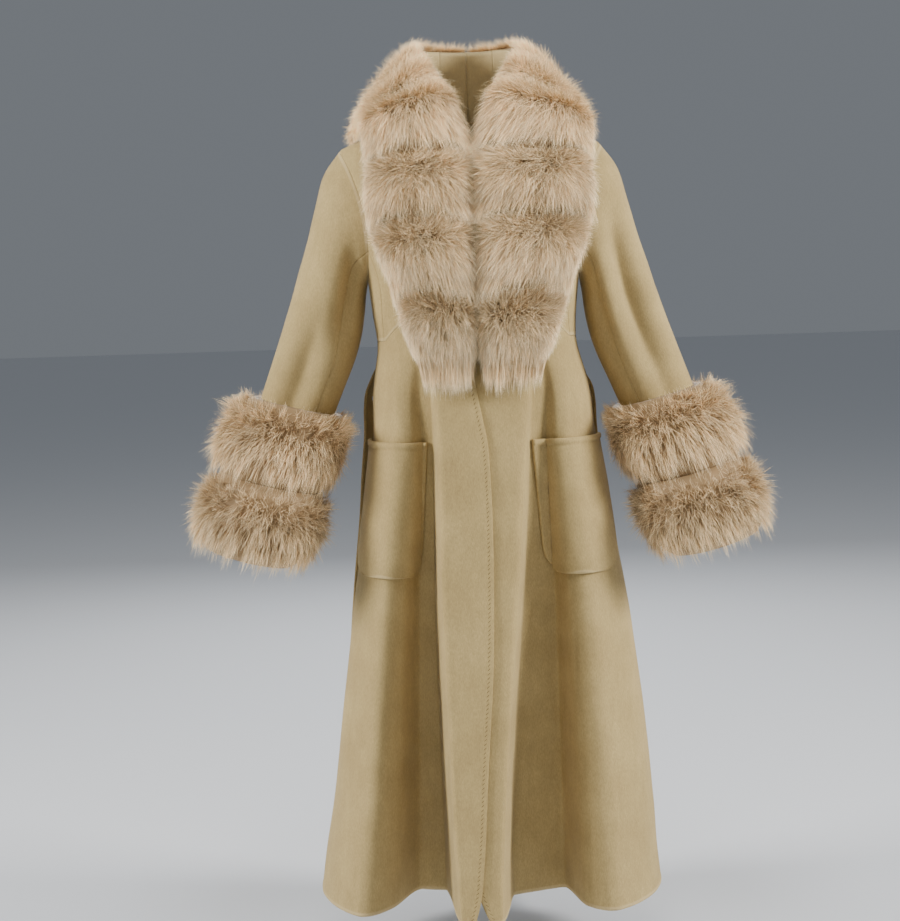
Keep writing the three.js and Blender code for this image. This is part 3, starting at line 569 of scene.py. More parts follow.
def side_surface(side, share, z):
    top_z, top_angle = armhole_at(mix(SEAM_PHI, 360 - SEAM_PHI, share))
    lines = FRONT_LINES[side]

    def straight(height):
        front = line_angle(lines["waist"][-1], lines["hem"][-1], height, LINE_EASE[side])
        front = np.where(height > FOLD_TOP, front_bound(height), front)
        back = line_angle(BACK_LINES["waist"][1], BACK_LINES["hem"][1], height)
        back = np.where(height > FOLD_TOP, back_bound(height), back)
        return mix(front, back, share)

    rise = ease((z - SIDE_STRAIGHT_Z) / (top_z - SIDE_STRAIGHT_Z))
    hem_angle = mix(lines["hem"][-1], BACK_LINES["hem"][1], share)
    angle = straight(z) + rise * (top_angle - straight(top_z))
    return coat_point(side, angle, fold_depth(side, hem_angle), z)


def back_surface(side, place, z):
    hem_angle = along(BACK_LINES["hem"][1:], place)
    return coat_point(side, between(back_angles(z), place), fold_depth("left", hem_angle), z)


def body_surface(side, place, z):
    """Half the body from the front edge to the centre back, and past it the other side's back."""
    place, z = np.broadcast_arrays(np.asarray(place, float), np.asarray(z, float))
    out = np.empty((*place.shape, 3))
    other = place > CENTRE_BACK
    if other.any():
        out[other] = body_surface("right", 2 * CENTRE_BACK - place[other], z[other]) * (-1, 1, 1)
    front = place <= FRONT_END
    if front.any():
        out[front] = front_surface(side, place[front], z[front])
    at_side = (place > FRONT_END) & (place <= BACK_START)
    if at_side.any():
        out[at_side] = side_surface(side, place[at_side] - FRONT_END, z[at_side])
    back = (place > BACK_START) & ~other
    if back.any():
        out[back] = back_surface(side, place[back] - BACK_START, z[back])
    return out


def sleeve_oval(c, s, at):
    """A point of the sleeve's plain oval, from a cosine and a sine."""
    return stack(
        mix(read(SLEEVE, "in_x", at), read(SLEEVE, "out_x", at), (1 + c) / 2),
        read(SLEEVE, "y", at) - read(SLEEVE, "depth", at) * s,
        mix(read(SLEEVE, "in_z", at), read(SLEEVE, "out_z", at), (1 + c) / 2),
    )


def sleeve_middle(at):
    return sleeve_oval(0, 0, at)


def sleeve_surface(side, phi, at):
    """The sleeve: phi runs round it from the outer line towards the front."""
    phi, at = np.broadcast_arrays(np.asarray(phi, float), np.asarray(at, float))
    c, s = np.cos(np.radians(phi)), np.sin(np.radians(phi))
    point = sleeve_oval(c, s, at)
    carry = np.clip(1 - at / ARMHOLE_REACH, 0, 1) ** 2
    point += (armhole_point(phi) - sleeve_oval(c, s, np.zeros_like(at))) * carry[..., None]
    hollow = np.zeros(at.shape)
    for middle, width, depth, start, stop in zip(*TROUGHS[side].values()):
        t = np.clip((at - start) / (stop - start), 0, 1)
        away = (phi + 180) % 360 - 180 - middle
        hollow += depth * np.sin(np.pi * t) ** 1.2 * np.exp(-((away / width) ** 2))
    return point + unit(sleeve_middle(at) - point) * hollow[..., None]


def normals(surface, a, b, step_a, step_b):
    """Outward directions of surface(a, b), whose a runs round the coat and b runs up."""
    da = surface(a + step_a, b) - surface(a - step_a, b)
    db = surface(a, b + step_b) - surface(a, b - step_b)
    return unit(np.cross(da, db))


# Meshes
def lattice(x, y, cell, seed):
    """Smooth noise from -1 to 1 with features about one cell wide."""
    values = np.random.default_rng(seed).uniform(-1, 1, (LATTICE, LATTICE))
    u, v = x / cell, y / cell
    i, j = np.floor(u).astype(int), np.floor(v).astype(int)
    s, t = ease(u - i), ease(v - j)

    def corner(di, dj):
        return values[(i + di) % LATTICE, (j + dj) % LATTICE]

    return mix(mix(corner(0, 0), corner(1, 0), s), mix(corner(0, 1), corner(1, 1), s), t)


def place_in_scene(name, data):
    piece = bpy.data.objects.new(name, data)
    bpy.context.scene.collection.objects.link(piece)
    return piece


def make_object(name, points, faces, material, attributes):
    """A mesh object in metres from points in millimetres, with a number for each point by name."""
    mesh = bpy.data.meshes.new(name)
    mesh.from_pydata((points * MM).tolist(), [], faces)
    for key, values in attributes.items():
        mesh.attributes.new(key, "FLOAT", "POINT").data.foreach_set("value", values.astype(np.float32))
    mesh.shade_smooth()
    mesh.materials.append(material)
    return place_in_scene(name, mesh)


def wall_faces(rows, cols, ring=False):
    """The quads of a closed wall whose outer layer of points comes before its inner one."""
    span = cols if ring else cols - 1
    r, c = np.meshgrid(np.arange(rows - 1), np.arange(span), indexing="ij")
    r, c = r.ravel(), c.ravel()
    size = rows * cols
    a, b = r * cols + c, r * cols + (c + 1) % cols
    d, e = (r + 1) * cols + c, (r + 1) * cols + (c + 1) % cols
    faces = [np.stack([a, b, e, d], 1), np.stack([a, d, e, b], 1) + size]
    k = np.arange(span)
    low, high = k, (k + 1) % cols
    last = (rows - 1) * cols
    faces.append(np.stack([low, low + size, high + size, high], 1))
    faces.append(np.stack([last + low, last + high, last + high + size, last + low + size], 1))
    if not ring:
        k = np.arange(rows - 1) * cols
        faces.append(np.stack([k, k + cols, k + cols + size, k + size], 1))
        k = k + cols - 1
        faces.append(np.stack([k, k + size, k + cols + size, k + cols], 1))
    return np.concatenate(faces)


def facing_out(points, faces, mirror):
    """Mirrors the points if asked, and turns the faces to point outwards."""
    if mirror:
        points = points * (-1, 1, 1)
    p = points[faces]
    volume = np.einsum("ij,ij->", p[:, 0], np.cross(p[:, 1], p[:, 2]) + np.cross(p[:, 2], p[:, 3]))
    return points, (faces if volume > 0 else faces[:, ::-1])


def edged(grid, axis, first, last):
    """Resamples a grid along one axis, with extra lines near its two edges.

    Gives the new grid, the cloth's share of thickness on each line, and each line's distance from
    the first edge.
    """
    g = np.moveaxis(grid, axis, 1)
    run = np.linalg.norm(np.diff(g[..., :3], axis=1), axis=2)
    run = np.concatenate([np.zeros((len(g), 1)), np.cumsum(run, axis=1)], axis=1)
    length = run[:, -1:]
    a, b = first["in"], last["in"]
    inner = a[-1] + run / length * (length - a[-1] - b[-1])
    head = np.broadcast_to(a[:-1], (len(g), len(a) - 1))
    tail = length - b[-2::-1]
    target = np.concatenate([head, inner, tail], axis=1)
    out = np.empty((len(g), target.shape[1], g.shape[2]))
    for r in range(len(g)):
        for k in range(g.shape[2]):
            out[r, :, k] = np.interp(target[r], run[r], g[r, :, k])
    share = np.concatenate([first["share"][:-1], np.ones(inner.shape[1]), last["share"][-2::-1]])
    return np.moveaxis(out, 1, axis), share, np.moveaxis(target, 1, axis)


def stretched(values, count):
    """Stretches a grid of numbers to more rows."""
    at = np.linspace(0, len(values) - 1, count)
    low = np.floor(at).astype(int).clip(0, len(values) - 2)
    return mix(values[low], values[low + 1], (at - low)[:, None])


def dress(piece, node):
    """Puts a piece on the coat in place of its solid."""
    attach(piece, "root")
    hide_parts(node)


def cloth_piece(
    node, side, points, normal, edges, thick=CLOTH, felled=False, outer_only=False, rests_on=()
):
    """A closed wall of cloth around a grid of middle points, in place of its solid.

    edges are the tables for its first and last column and its first and last row. A felled piece
    has stitches along its first column. With outer_only the edges swell on the outside alone.
    """
    grid = np.concatenate([points, np.broadcast_to(normal, points.shape)], axis=2)
    grid, share_c, from_left = edged(grid, 1, *edges[:2])
    grid, share_r, from_low = edged(grid, 0, *edges[2:])
    from_left = stretched(from_left, len(grid))
    points, normal = grid[..., :3], unit(grid[..., 3:6])
    share = share_r[:, None] * share_c[None, :]
    half = normal * (thick / 2) * share[..., None]
    outer, inner = points + half, points - half
    if outer_only:
        inner = points - normal * thick / 2
        outer = inner + half * 2
    both = np.concatenate([outer.reshape(-1, 3), inner.reshape(-1, 3)])
    both, faces = facing_out(both, wall_faces(*share.shape), side == "right")
    attributes = {
        "edge": np.tile(from_left.ravel() if felled else np.full(share.size, FAR_IN), 2),
        "hem": np.tile(from_low.ravel(), 2),
        "run": np.tile(points[..., 2].ravel() if felled else np.zeros(share.size), 2),
    }
    piece = make_object(f"{node}_cloth", both, faces.tolist(), wool, attributes)
    dress(piece, node)


# Materials
class Shading:
    """A new material, with a method for each kind of node that it needs."""

    def __init__(self, name):
        self.material = bpy.data.materials.new(name)
        self.material.use_nodes = True
        self.nodes = self.material.node_tree.nodes

    def feed_all(self, node, inputs):
        """Gives each named input a number, a vector, a colour or another node's output."""
        for key, value in inputs.items():
            if isinstance(value, bpy.types.NodeSocket):
                self.material.node_tree.links.new(value, node.inputs[key])
            else:
                node.inputs[key].default_value = (*value, 1) if isinstance(value, tuple) else value

    def add(self, kind, output, inputs, **settings):
        """A new node's output, with its inputs fed by name or by number."""
        node = self.nodes.new(kind)
        for key, value in settings.items():
            setattr(node, key, value)
        self.feed_all(node, inputs)
        return node.outputs[output]

    def finish(self, inputs):
        self.feed_all(self.nodes["Principled BSDF"], inputs)
        return self.material

    def where(self):
        return self.add("ShaderNodeTexCoord", "Object", {})

    def attribute(self, name):
        return self.add("ShaderNodeAttribute", "Fac", {}, attribute_name=name)

    def math(self, operation, a, b):
        return self.add("ShaderNodeMath", 0, {0: a, 1: b}, operation=operation)

    def noise(self, vector, scale, detail, roughness=0.5):
        inputs = {"Vector": vector, "Scale": scale, "Detail": detail, "Roughness": roughness}
        return self.add("ShaderNodeTexNoise", "Fac", inputs)

    def remap(self, value, low, high, to_low, to_high):
        inputs = {"Value": value, "From Min": low, "From Max": high, "To Min": to_low, "To Max": to_high}
        return self.add("ShaderNodeMapRange", "Result", inputs)

    def grey(self, *remapped):
        """A number, remapped, as a grey colour."""
        grey = self.remap(*remapped)
        return self.add("ShaderNodeCombineColor", "Color", {"Red": grey, "Green": grey, "Blue": grey})

    def blend(self, kind, factor, a, b):
        inputs = {"Factor": factor, "A": a, "B": b}
        return self.add("ShaderNodeMix", "Result", inputs, data_type="RGBA", blend_type=kind)

    def ramp(self, value, stops):
        node = self.nodes.new("ShaderNodeValToRGB")
        elements = node.color_ramp.elements
        while len(elements) < len(stops):
            elements.new(0.5)
        for element, (position, color) in zip(elements, stops):
            element.position = position
            element.color = (*color, 1)
        self.feed_all(node, {"Fac": value})
        return node.outputs["Color"]


def wool_material():
    """Brushed double-faced wool: soft mottling, a fine nap, and small stitches along a felled edge."""
    look = Shading("wool")
    where = look.where()
    drawn_down = look.add("ShaderNodeMapping", "Vector", {"Vector": where, "Scale": Vector((1, 1, 0.35))})
    mottle = look.noise(where, MOTTLE_SCALE, 3)
    nap = look.noise(drawn_down, NAP_SCALE, 3, 0.65)
    patches = look.noise(drawn_down, PATCH_SCALE, 3, 0.6)
    color = look.ramp(mottle, ((0.3, WOOL_DARK), (0.7, WOOL_LIGHT)))
    color = look.blend("MULTIPLY", 1.0, color, look.grey(nap, 0.3, 0.7, 0.82, 1.12))
    color = look.blend("MULTIPLY", 1.0, color, look.grey(patches, 0.3, 0.7, 0.94, 1.05))
    # A painted highlight: the cloth is lighter along each piece's lowest edge, as on the rolled hem
    edge_highlight = look.remap(look.attribute("hem"), 4.5, 6.5, 1, 0)
    color = look.blend("MIX", look.math("MULTIPLY", edge_highlight, 0.45), color, WOOL_EDGE_HIGHLIGHT)

    # The stitches slant, because their step counts from the edge as well as along it
    edge = look.attribute("edge")
    stripe = look.math("PINGPONG", look.math("ADD", look.attribute("run"), edge), STITCH_STEP)
    past_start = look.math("GREATER_THAN", edge, STITCH_FROM)
    before_end = look.math("LESS_THAN", edge, STITCH_TO)
    near = look.math("MULTIPLY", past_start, before_end)
    stitch = look.math("MULTIPLY", look.math("LESS_THAN", stripe, STITCH_HALF), near)
    color = look.blend("MIX", look.math("MULTIPLY", stitch, 0.85), color, WOOL_STITCH)

    height = look.math("ADD", nap, look.math("MULTIPLY", patches, 0.8))
    height = look.math("SUBTRACT", height, look.math("MULTIPLY", stitch, 1.5))
    inputs = {"Strength": BUMP_STRENGTH, "Distance": BUMP_DEPTH, "Height": height}
    bump = look.add("ShaderNodeBump", "Normal", inputs)
    return look.finish({
        "Base Color": color,
        "Normal": bump,
        "Roughness": 0.93,
        "Specular IOR Level": 0.2,
        "Sheen Weight": 0.1,
        "Sheen Roughness": 0.45,
        "Sheen Tint": WOOL_SHEEN,
    })


def fur_material():
    """Long soft hair, darker at the root and lighter at the tip."""
    look = Shading("fur")
    color = look.ramp(look.attribute("along"), FUR_RAMP)
    color = look.blend("MULTIPLY", 1.0, color, look.grey(look.attribute("tone"), 0, 1.1, 0.56, 1.36))
    patches = look.noise(look.where(), FUR_PATCH_SCALE, 2)
    color = look.blend("MULTIPLY", 1.0, color, look.grey(patches, 0.3, 0.7, 0.9, 1.08))
    return look.finish({
        "Base Color": color,
        "Roughness": 0.6,
        "Specular IOR Level": 0.15,
        "Sheen Weight": 0.1,
        "Sheen Roughness": 0.4,
        "Sheen Tint": FUR_SHEEN,
    })


wool = wool_material()
fur = fur_material()


# The body's panels
def places(counts):
    return np.concatenate([[0.0]] + [i + np.arange(1, n + 1) / n for i, n in enumerate(counts)])


def waist_at(place):
    return read(WAIST, "z", np.minimum(place, 2 * CENTRE_BACK - place))


def ripple(points, normal, seed, size=0.9):
    """Adds the slight unevenness of real cloth."""
    x, z = points[..., 0] + points[..., 1], points[..., 2]
    wave = lattice(x, z * 0.45, RIPPLE_LONG, seed) + 0.45 * lattice(x, z * 0.6, RIPPLE_SHORT, seed + 1)
    return points + normal * (wave * size)[..., None]


def body_points(side, place, z, step=1.0):
    """The body's points and its outward normals."""
    surface = partial(body_surface, side)
    return surface(place, z), normals(surface, place, z, 0.03 * step, step)


def trimmed(points, sides):
    """Draws a panel's edges back by half a seam's gap: sides are left, right, low and top."""
    left, right, low, top = sides
    out = points.copy()
    out[:, 0] += unit(points[:, 1] - points[:, 0]) * left * GAP / 2
    out[:, -1] += unit(points[:, -2] - points[:, -1]) * right * GAP / 2
    out[0] += unit(points[1] - points[0]) * low * GAP / 2
    out[-1] += unit(points[-2] - points[-1]) * top * GAP / 2
    return out


def rows_between(low, high, count):
    return mix(low, high, np.linspace(0, 1, count)[:, None])


def skirt_rows(run):
    return rows_between(HEM, waist_at(run), SKIRT_ROWS)


def bodice_rows(run):
    """Even rows to the armhole, then rows that follow it, and rows on to the neck."""
    low = rows_between(waist_at(run), SEAM_TOP_Z, BODICE_LOW_ROWS)[:-1]
    beside_armhole = armhole_at(np.linspace(SEAM_PHI, 0, ARMHOLE_ROWS))[0]
    high = np.concatenate([beside_armhole, np.linspace(SHOULDER_Z, 0, SHOULDER_ROWS)[1:]])
    return np.concatenate([low, np.broadcast_to(high[:, None], (len(high), len(run)))])


def panel(node, side, run, z, seams, edges, uneven=0.9, **options):
    """A panel of the body, from its columns' places and its grid of heights."""
    points, normal = body_points(side, np.broadcast_to(run, z.shape), z)
    points = trimmed(ripple(points, normal, 5, uneven), seams)
    cloth_piece(node, side, points, normal, edges, **options)


front_run = places(FRONT_COUNTS)
back_half = BACK_START + places(BACK_COUNTS)
side_run = FRONT_END + np.linspace(0, 1, SIDE_COUNT + 1)
# The skirt has no side panel: its front and back each take half of its width
side_middle = SIDE_COUNT // 2
skirt_front_run = np.concatenate([front_run, side_run[1 : side_middle + 1]])
skirt_half = np.concatenate([side_run[side_middle:-1], back_half])
skirt_back_run = np.concatenate([skirt_half, 2 * CENTRE_BACK - skirt_half[-2::-1]])
bodice_back_run = np.concatenate([back_half, 2 * CENTRE_BACK - back_half[-2::-1]])
for side in SIDES:
    panel(
        f"skirt_front_{side}", side, skirt_front_run, skirt_rows(skirt_front_run),
        (0, 1, 0, 1), (FELLED_EDGE, SEAM_EDGE, HEM_EDGE, SEAM_EDGE), felled=True,
    )
    panel(
        f"bodice_front_{side}", side, front_run, bodice_rows(front_run),
        (0, 1, 1, 0), (FELLED_EDGE, SEAM_EDGE, SEAM_EDGE, SEAM_EDGE), uneven=0.5,
    )
    armhole_z = armhole_at(mix(SEAM_PHI, 360 - SEAM_PHI, side_run - FRONT_END))[0]
    panel(
        f"bodice_side_{side}", side, side_run, rows_between(waist_at(side_run), armhole_z, SIDE_ROWS),
        (1, 1, 1, 1), (SEAM_EDGE,) * 4,
    )

panel(
    "skirt_back", "left", skirt_back_run, skirt_rows(skirt_back_run),
    (1, 1, 0, 1), (SEAM_EDGE, SEAM_EDGE, HEM_EDGE, SEAM_EDGE),
)
panel(
    "bodice_back", "left", bodice_back_run, bodice_rows(bodice_back_run),
    (1, 1, 1, 0), (SEAM_EDGE,) * 4, uneven=0.5,
)


# The sleeves
def sleeve_piece(node, side, phis):
    at, phi = np.meshgrid(np.linspace(0, SLEEVE_END, SLEEVE_ROWS), phis, indexing="ij")
    points = sleeve_surface(side, phi, at)
    normal = normals(partial(sleeve_surface, side), phi, at, 2.0, 0.06)
    outward = np.sign(np.einsum("...i,...i->...", normal, points - sleeve_middle(at)))
    normal = normal * outward[..., None]
    points = trimmed(ripple(points, normal, 9, 1.1), (1, 1, 1, 0))
    cloth_piece(node, side, points, normal, (SEAM_EDGE,) * 4)


for side in SIDES:
    sleeve_piece(f"sleeve_top_{side}", side, np.linspace(-SEAM_PHI, SEAM_PHI, SLEEVE_TOP_COLUMNS))
    sleeve_piece(f"sleeve_under_{side}", side, np.linspace(SEAM_PHI, 360 - SEAM_PHI, SLEEVE_UNDER_COLUMNS))


# The pockets
def walk_round(side, z, from_x, distances):
    """The places so many millimetres round the coat from x, at one height."""
    path = np.linspace(WALK_FROM, BACK_START, WALK_COUNT)
    points = body_surface(side, path, np.full(path.shape, z))
    start = int(np.argmax(points[:, 0] >= from_x))
    run = np.concatenate([[0], np.cumsum(np.linalg.norm(np.diff(points[start:], axis=0), axis=1))])
    return np.interp(distances, run, path[start:])


def pocket_piece(side):
    heights = mix(POCKET_BOTTOM, POCKET_TOP, np.linspace(0, 1, POCKET_ROWS) ** 1.35)
    shares = np.linspace(0, 1, POCKET_COLUMNS)
    place = []
    for z in heights:
        in_corner = np.clip((POCKET_BOTTOM + POCKET_CORNER - z) / POCKET_CORNER, 0, 1)
        inset = POCKET_CORNER * (1 - math.sqrt(1 - in_corner**2))
        start = mix(POCKET_BOTTOM_X, POCKET_TOP_X, (z - POCKET_BOTTOM) / (POCKET_TOP - POCKET_BOTTOM))
        place.append(walk_round(side, z, start, mix(inset, POCKET_WIDTH - inset, shares)))
    place = np.array(place)
    z = np.broadcast_to(heights[:, None], place.shape)
    points, normal = body_points(side, place, z, 2.0)
    rim = np.minimum(np.minimum(shares, 1 - shares) * 160, z - POCKET_BOTTOM)
    lift = mix(POCKET_LIFT_EDGE, POCKET_LIFT_MIDDLE, ease(rim / POCKET_LIFT_RUN))
    points = ripple(points + normal * lift[..., None], normal, 31, 0.4)
    cloth_piece(
        f"pocket_{side}", side, points, normal, (POCKET_EDGE, POCKET_EDGE, POCKET_EDGE, POCKET_TOP_EDGE),
        outer_only=True, rests_on=[f"skirt_front_{side}_cloth"],
    )


for side in SIDES:
    pocket_piece(side)


# The belt
def outside_at(side, angle, z):
    """The coat's outside, and its normal, at an angle round it and a height."""

    def skin(a, b):
        return coat_point(side, a, fold_depth("left", a), b)

    normal = normals(skin, np.minimum(angle, BACK_MIDDLE), z, 1.5, 2.0)
    normal[..., 0] = np.where(angle > BACK_MIDDLE, 0, normal[..., 0])
    return skin(angle, z), unit(normal)


def belt_middle(at):
    """The belt's middle line from one end to the other: its points, normals and widths."""
    near = np.abs(at)
    angle = read(BELT_ROUTE, "angle", near)
    z = read(BELT_ROUTE, "z", near)
    tucked = angle + BELT_TUCK * ease((near - 2) / 2)
    on_right = (at < 0)[..., None]
    sides = outside_at("right", angle, z), outside_at("left", tucked, z)
    point, normal = (np.where(on_right, right, left) for right, left in zip(*sides))
    point = point + normal * read(BELT_ROUTE, "out", near)[..., None]
    flip = stack(np.where(at < 0, -1, 1), 1, 1)
    return point * flip, normal * flip, read(BELT_ROUTE, "width", near)


def strip(point, across, width, columns_across):
    """A grid of points across a strip of cloth, from its middle line."""
    shares = np.linspace(-0.5, 0.5, columns_across)
    return point[:, None] + across[:, None] * (width * shares)[..., None]


def belt_piece():
    at = np.linspace(-BELT_END, BELT_END, BELT_COLUMNS)
    point, normal, wide = belt_middle(at)
    ahead, behind = np.minimum(at + 0.1, BELT_END), np.maximum(at - 0.1, -BELT_END)
    run = unit(belt_middle(ahead)[0] - belt_middle(behind)[0])
    across = unit(np.cross(normal, run))
    face = unit(np.cross(run, across))[:, None]
    points = strip(point, across, wide[:, None], BELT_ROWS)
    loops = [f"belt_loop_{side}_cloth" for side in SIDES]
    cloth_piece("belt", "left", points, face, (POCKET_EDGE,) * 4, thick=BELT_THICK * 0.85, rests_on=loops)


def belt_loop_piece(side):
    """A narrow strip sewn down above and below the belt, and standing off the coat between."""
    at = np.linspace(0, LOOP_LINE["at"][-1], LOOP_ROWS)
    up, out = read(LOOP_LINE, "up", at), read(LOOP_LINE, "out", at)
    point, normal = outside_at(side, np.full(at.shape, float(LOOP_ANGLE)), LOOP_MIDDLE + up)
    beside = unit(stack(-normal[:, 1], normal[:, 0], 0))
    points = strip(point + normal * out[:, None], beside, LOOP_WIDTH, LOOP_COLUMNS)
    cloth_piece(f"belt_loop_{side}", side, points, normal[:, None], (LOOP_EDGE,) * 4, thick=LOOP_THICK)


for side in SIDES:
    belt_loop_piece(side)
belt_piece()


# The fur
def widened(at):
    """The collar's measure for its width, which grows fast from the rounded lower end."""
    return np.where(at < 1, np.clip(at * (2 - at), 0, 1) ** COLLAR_TIP, at)


def spread(side, at, p):
    """The collar's underside across a cross line, p from its inner end to its outer one."""

    def value(name):
        return read(COLLAR, name, widened(at) if name.endswith("angle") else at)

    wider = mix(COLLAR_SIDES[side], 1, ease((at - 3) / 3))
    z = mix(value("in_z"), value("out_z"), p) + value("arch") * np.sin(np.pi * p)
    angle = mix(value("in_angle"), value("out_angle") * wider, p)
    normal = normals(figure, np.clip(angle, 3, 177), np.clip(z, -1000, 117), 2.0, 2.0)
    return figure(angle, z) + normal * value("lift")[..., None]


def collar_width(side, at):
    return mix(COLLAR_WIDE[side], 1, ease((at - 4.5) / 2))


def collar_hide(side, lower, t, p):
    """The underside of a collar band's fur."""
    point = spread(side, lower + t, p)
    point[..., 0] *= collar_width(side, lower + t)
    return point


def collar_surface(side, lower, t, p, grow):
    """A collar band's fur at a share of its full reach from the middle of its underside."""
    at = np.clip(lower + t, END_AT, COLLAR_BANDS)
    zero = np.zeros_like(at)
    start, end = spread(side, at, zero), spread(side, at, zero + 1)
    chord = end - start
    middle = (start + end) / 2
    reach = np.linalg.norm(chord, axis=-1) / 2 + FUR_OVERHANG * np.clip(widened(at), 0, 1)
    chord = unit(chord)
    drop = np.minimum(middle[..., 2], -20) - 60 * ease((at - 3) / 0.8)
    away = middle - stack(0, middle[..., 1] * 0.1, drop)
    away = unit(away - chord * np.einsum("...i,...i->...", away, chord)[..., None])
    end_share = np.where((lower == 0) & (t < 0.5), TIP_SHARE, GROOVE)
    puff = end_share + (1 - end_share) * np.abs(np.sin(np.pi * t)) ** 0.6
    turn = np.pi * (1 - p)
    reached = reach * power(np.cos(turn), 0.8) * mix(grow, 1, 0.7)
    up = read(COLLAR, "bulge", at) * puff * np.abs(np.sin(turn)) ** 0.6 * grow
    lean = COLLAR_LEAN * (1 - ease(at - 3)) * (1 - p)
    rise = unit(away - chord * lean[..., None])
    point = middle + chord * reached[..., None] + rise * up[..., None]
    point[..., 0] *= collar_width(side, at)
    point[..., 0] = np.where(point[..., 1] < 0, np.maximum(point[..., 0], PAST_CENTRE), point[..., 0])
    point[..., 2] += END_DROP * np.minimum(lower + t - END_AT, 0)
    return point


def cuff_surface(side, band, t, p, grow):
    """A cuff band's fur at a share of its full reach, with its p round the sleeve."""
    start, end, radius, aside = CUFF_BANDS[band]
    at_mouth = (t < 0.5) == (band == "cuff_upper")
    edge = np.where(at_mouth, CUFF_MOUTH, CUFF_GROOVE)
    puff = edge + (1 - edge) * np.sin(np.pi * np.clip(t, 0, 1)) ** 0.6
    at = mix(start, end, t)
    near = np.minimum(at, SLEEVE_END)
    step = sleeve_middle(np.array(float(SLEEVE_END))) - sleeve_middle(np.array(SLEEVE_END - 1.0))
    beyond = step * (at - near)[..., None]
    point = sleeve_surface(side, 360 * p, near)
    out = point - sleeve_middle(near)
    size = np.linalg.norm(out, axis=-1)
    way = unit(out)
    full = (radius - size + aside * way[..., 0]) * puff
    point = point + way * mix(CUFF_LIFT, full, grow)[..., None] + beyond
    limit = read(SECTIONS, "half", point[..., 2]) * swing(side, point[..., 2]) + CUFF_CLEAR
    point[..., 0] = np.maximum(point[..., 0], limit)
    return point


def hair_ends(rng, band):
    """Where the roots and tips of a band's hairs lie along it and across it, and their reach.

    They spread from a parting near the band's middle and are combed along it. On the collar the
    parting is a spot and the hair ends in an arch. On a cuff it is a line all round.
    """
    parting, comb, root_spread, _ = FUR_BANDS[band]
    on_cuff = band in CUFF_BANDS
    count = FUR_CLUMPS * CLUMP_HAIRS
    clump = np.repeat(np.arange(FUR_CLUMPS), CLUMP_HAIRS)
    t_mid = rng.uniform(*(CUFF_TOP_RUN if band == "cuff_upper" else BAND_RUN), FUR_CLUMPS)[clump]
    p_mid = rng.uniform(0, 1, FUR_CLUMPS)[clump]
    part_t = parting + SWAY_T * rng.uniform(-1, 1)
    part_p = 0.5 + SWAY_P * rng.uniform(-1, 1)
    if on_cuff:
        part_p, bow, combed = p_mid, 0, comb
    else:
        arched = ARCH * (mix(-0.5, 1, ease(t_mid / 0.5)) if band == "collar_1" else 1)
        bow = arched * (np.sin(np.pi * p_mid) - ARCH_MEAN)
        combed = comb * (1 - 0.85 * ease((t_mid - 0.5) / 0.4))
    root_scatter, tip_scatter = CUFF_SCATTER if on_cuff else COLLAR_SCATTER
    t_tip = t_mid + bow + rng.normal(0, TIP_SCATTER, count) + combed * rng.uniform(*COMB_REACH, count)
    if band == "collar_1":
        t_tip -= END_RAGGED * rng.uniform(0, 1, count) * (1 - ease(t_mid / 0.3))
    p_tip = p_mid + rng.normal(0, tip_scatter, count)
    t_root = mix(part_t, t_mid + bow, root_spread) + rng.normal(0, ROOT_SCATTER, count)
    p_root = mix(part_p, p_mid, 0.7) + rng.normal(0, root_scatter, count)
    if not on_cuff:
        p_tip, p_root = np.clip(p_tip, -0.02, 1.02), np.clip(p_root, 0.03, 0.97)
    rim = np.clip(np.hypot(t_mid - part_t, p_mid - part_p) / 0.5, 0, 1)
    long = rng.uniform(*CLUMP_LENGTH, FUR_CLUMPS)[clump] * rng.uniform(*HAIR_LENGTH, count)
    if on_cuff:
        from_mouth = t_mid if band == "cuff_upper" else 1 - t_mid
        long += MOUTH_FLUFF * (1 - ease(from_mouth / 0.2))
    long += np.where(rng.uniform(0, 1, count) < STRAY_SHARE, rng.uniform(*STRAY_LENGTH, count), 0)
    return clump, (t_root, p_root), (t_tip, p_tip), long, p_mid, rim


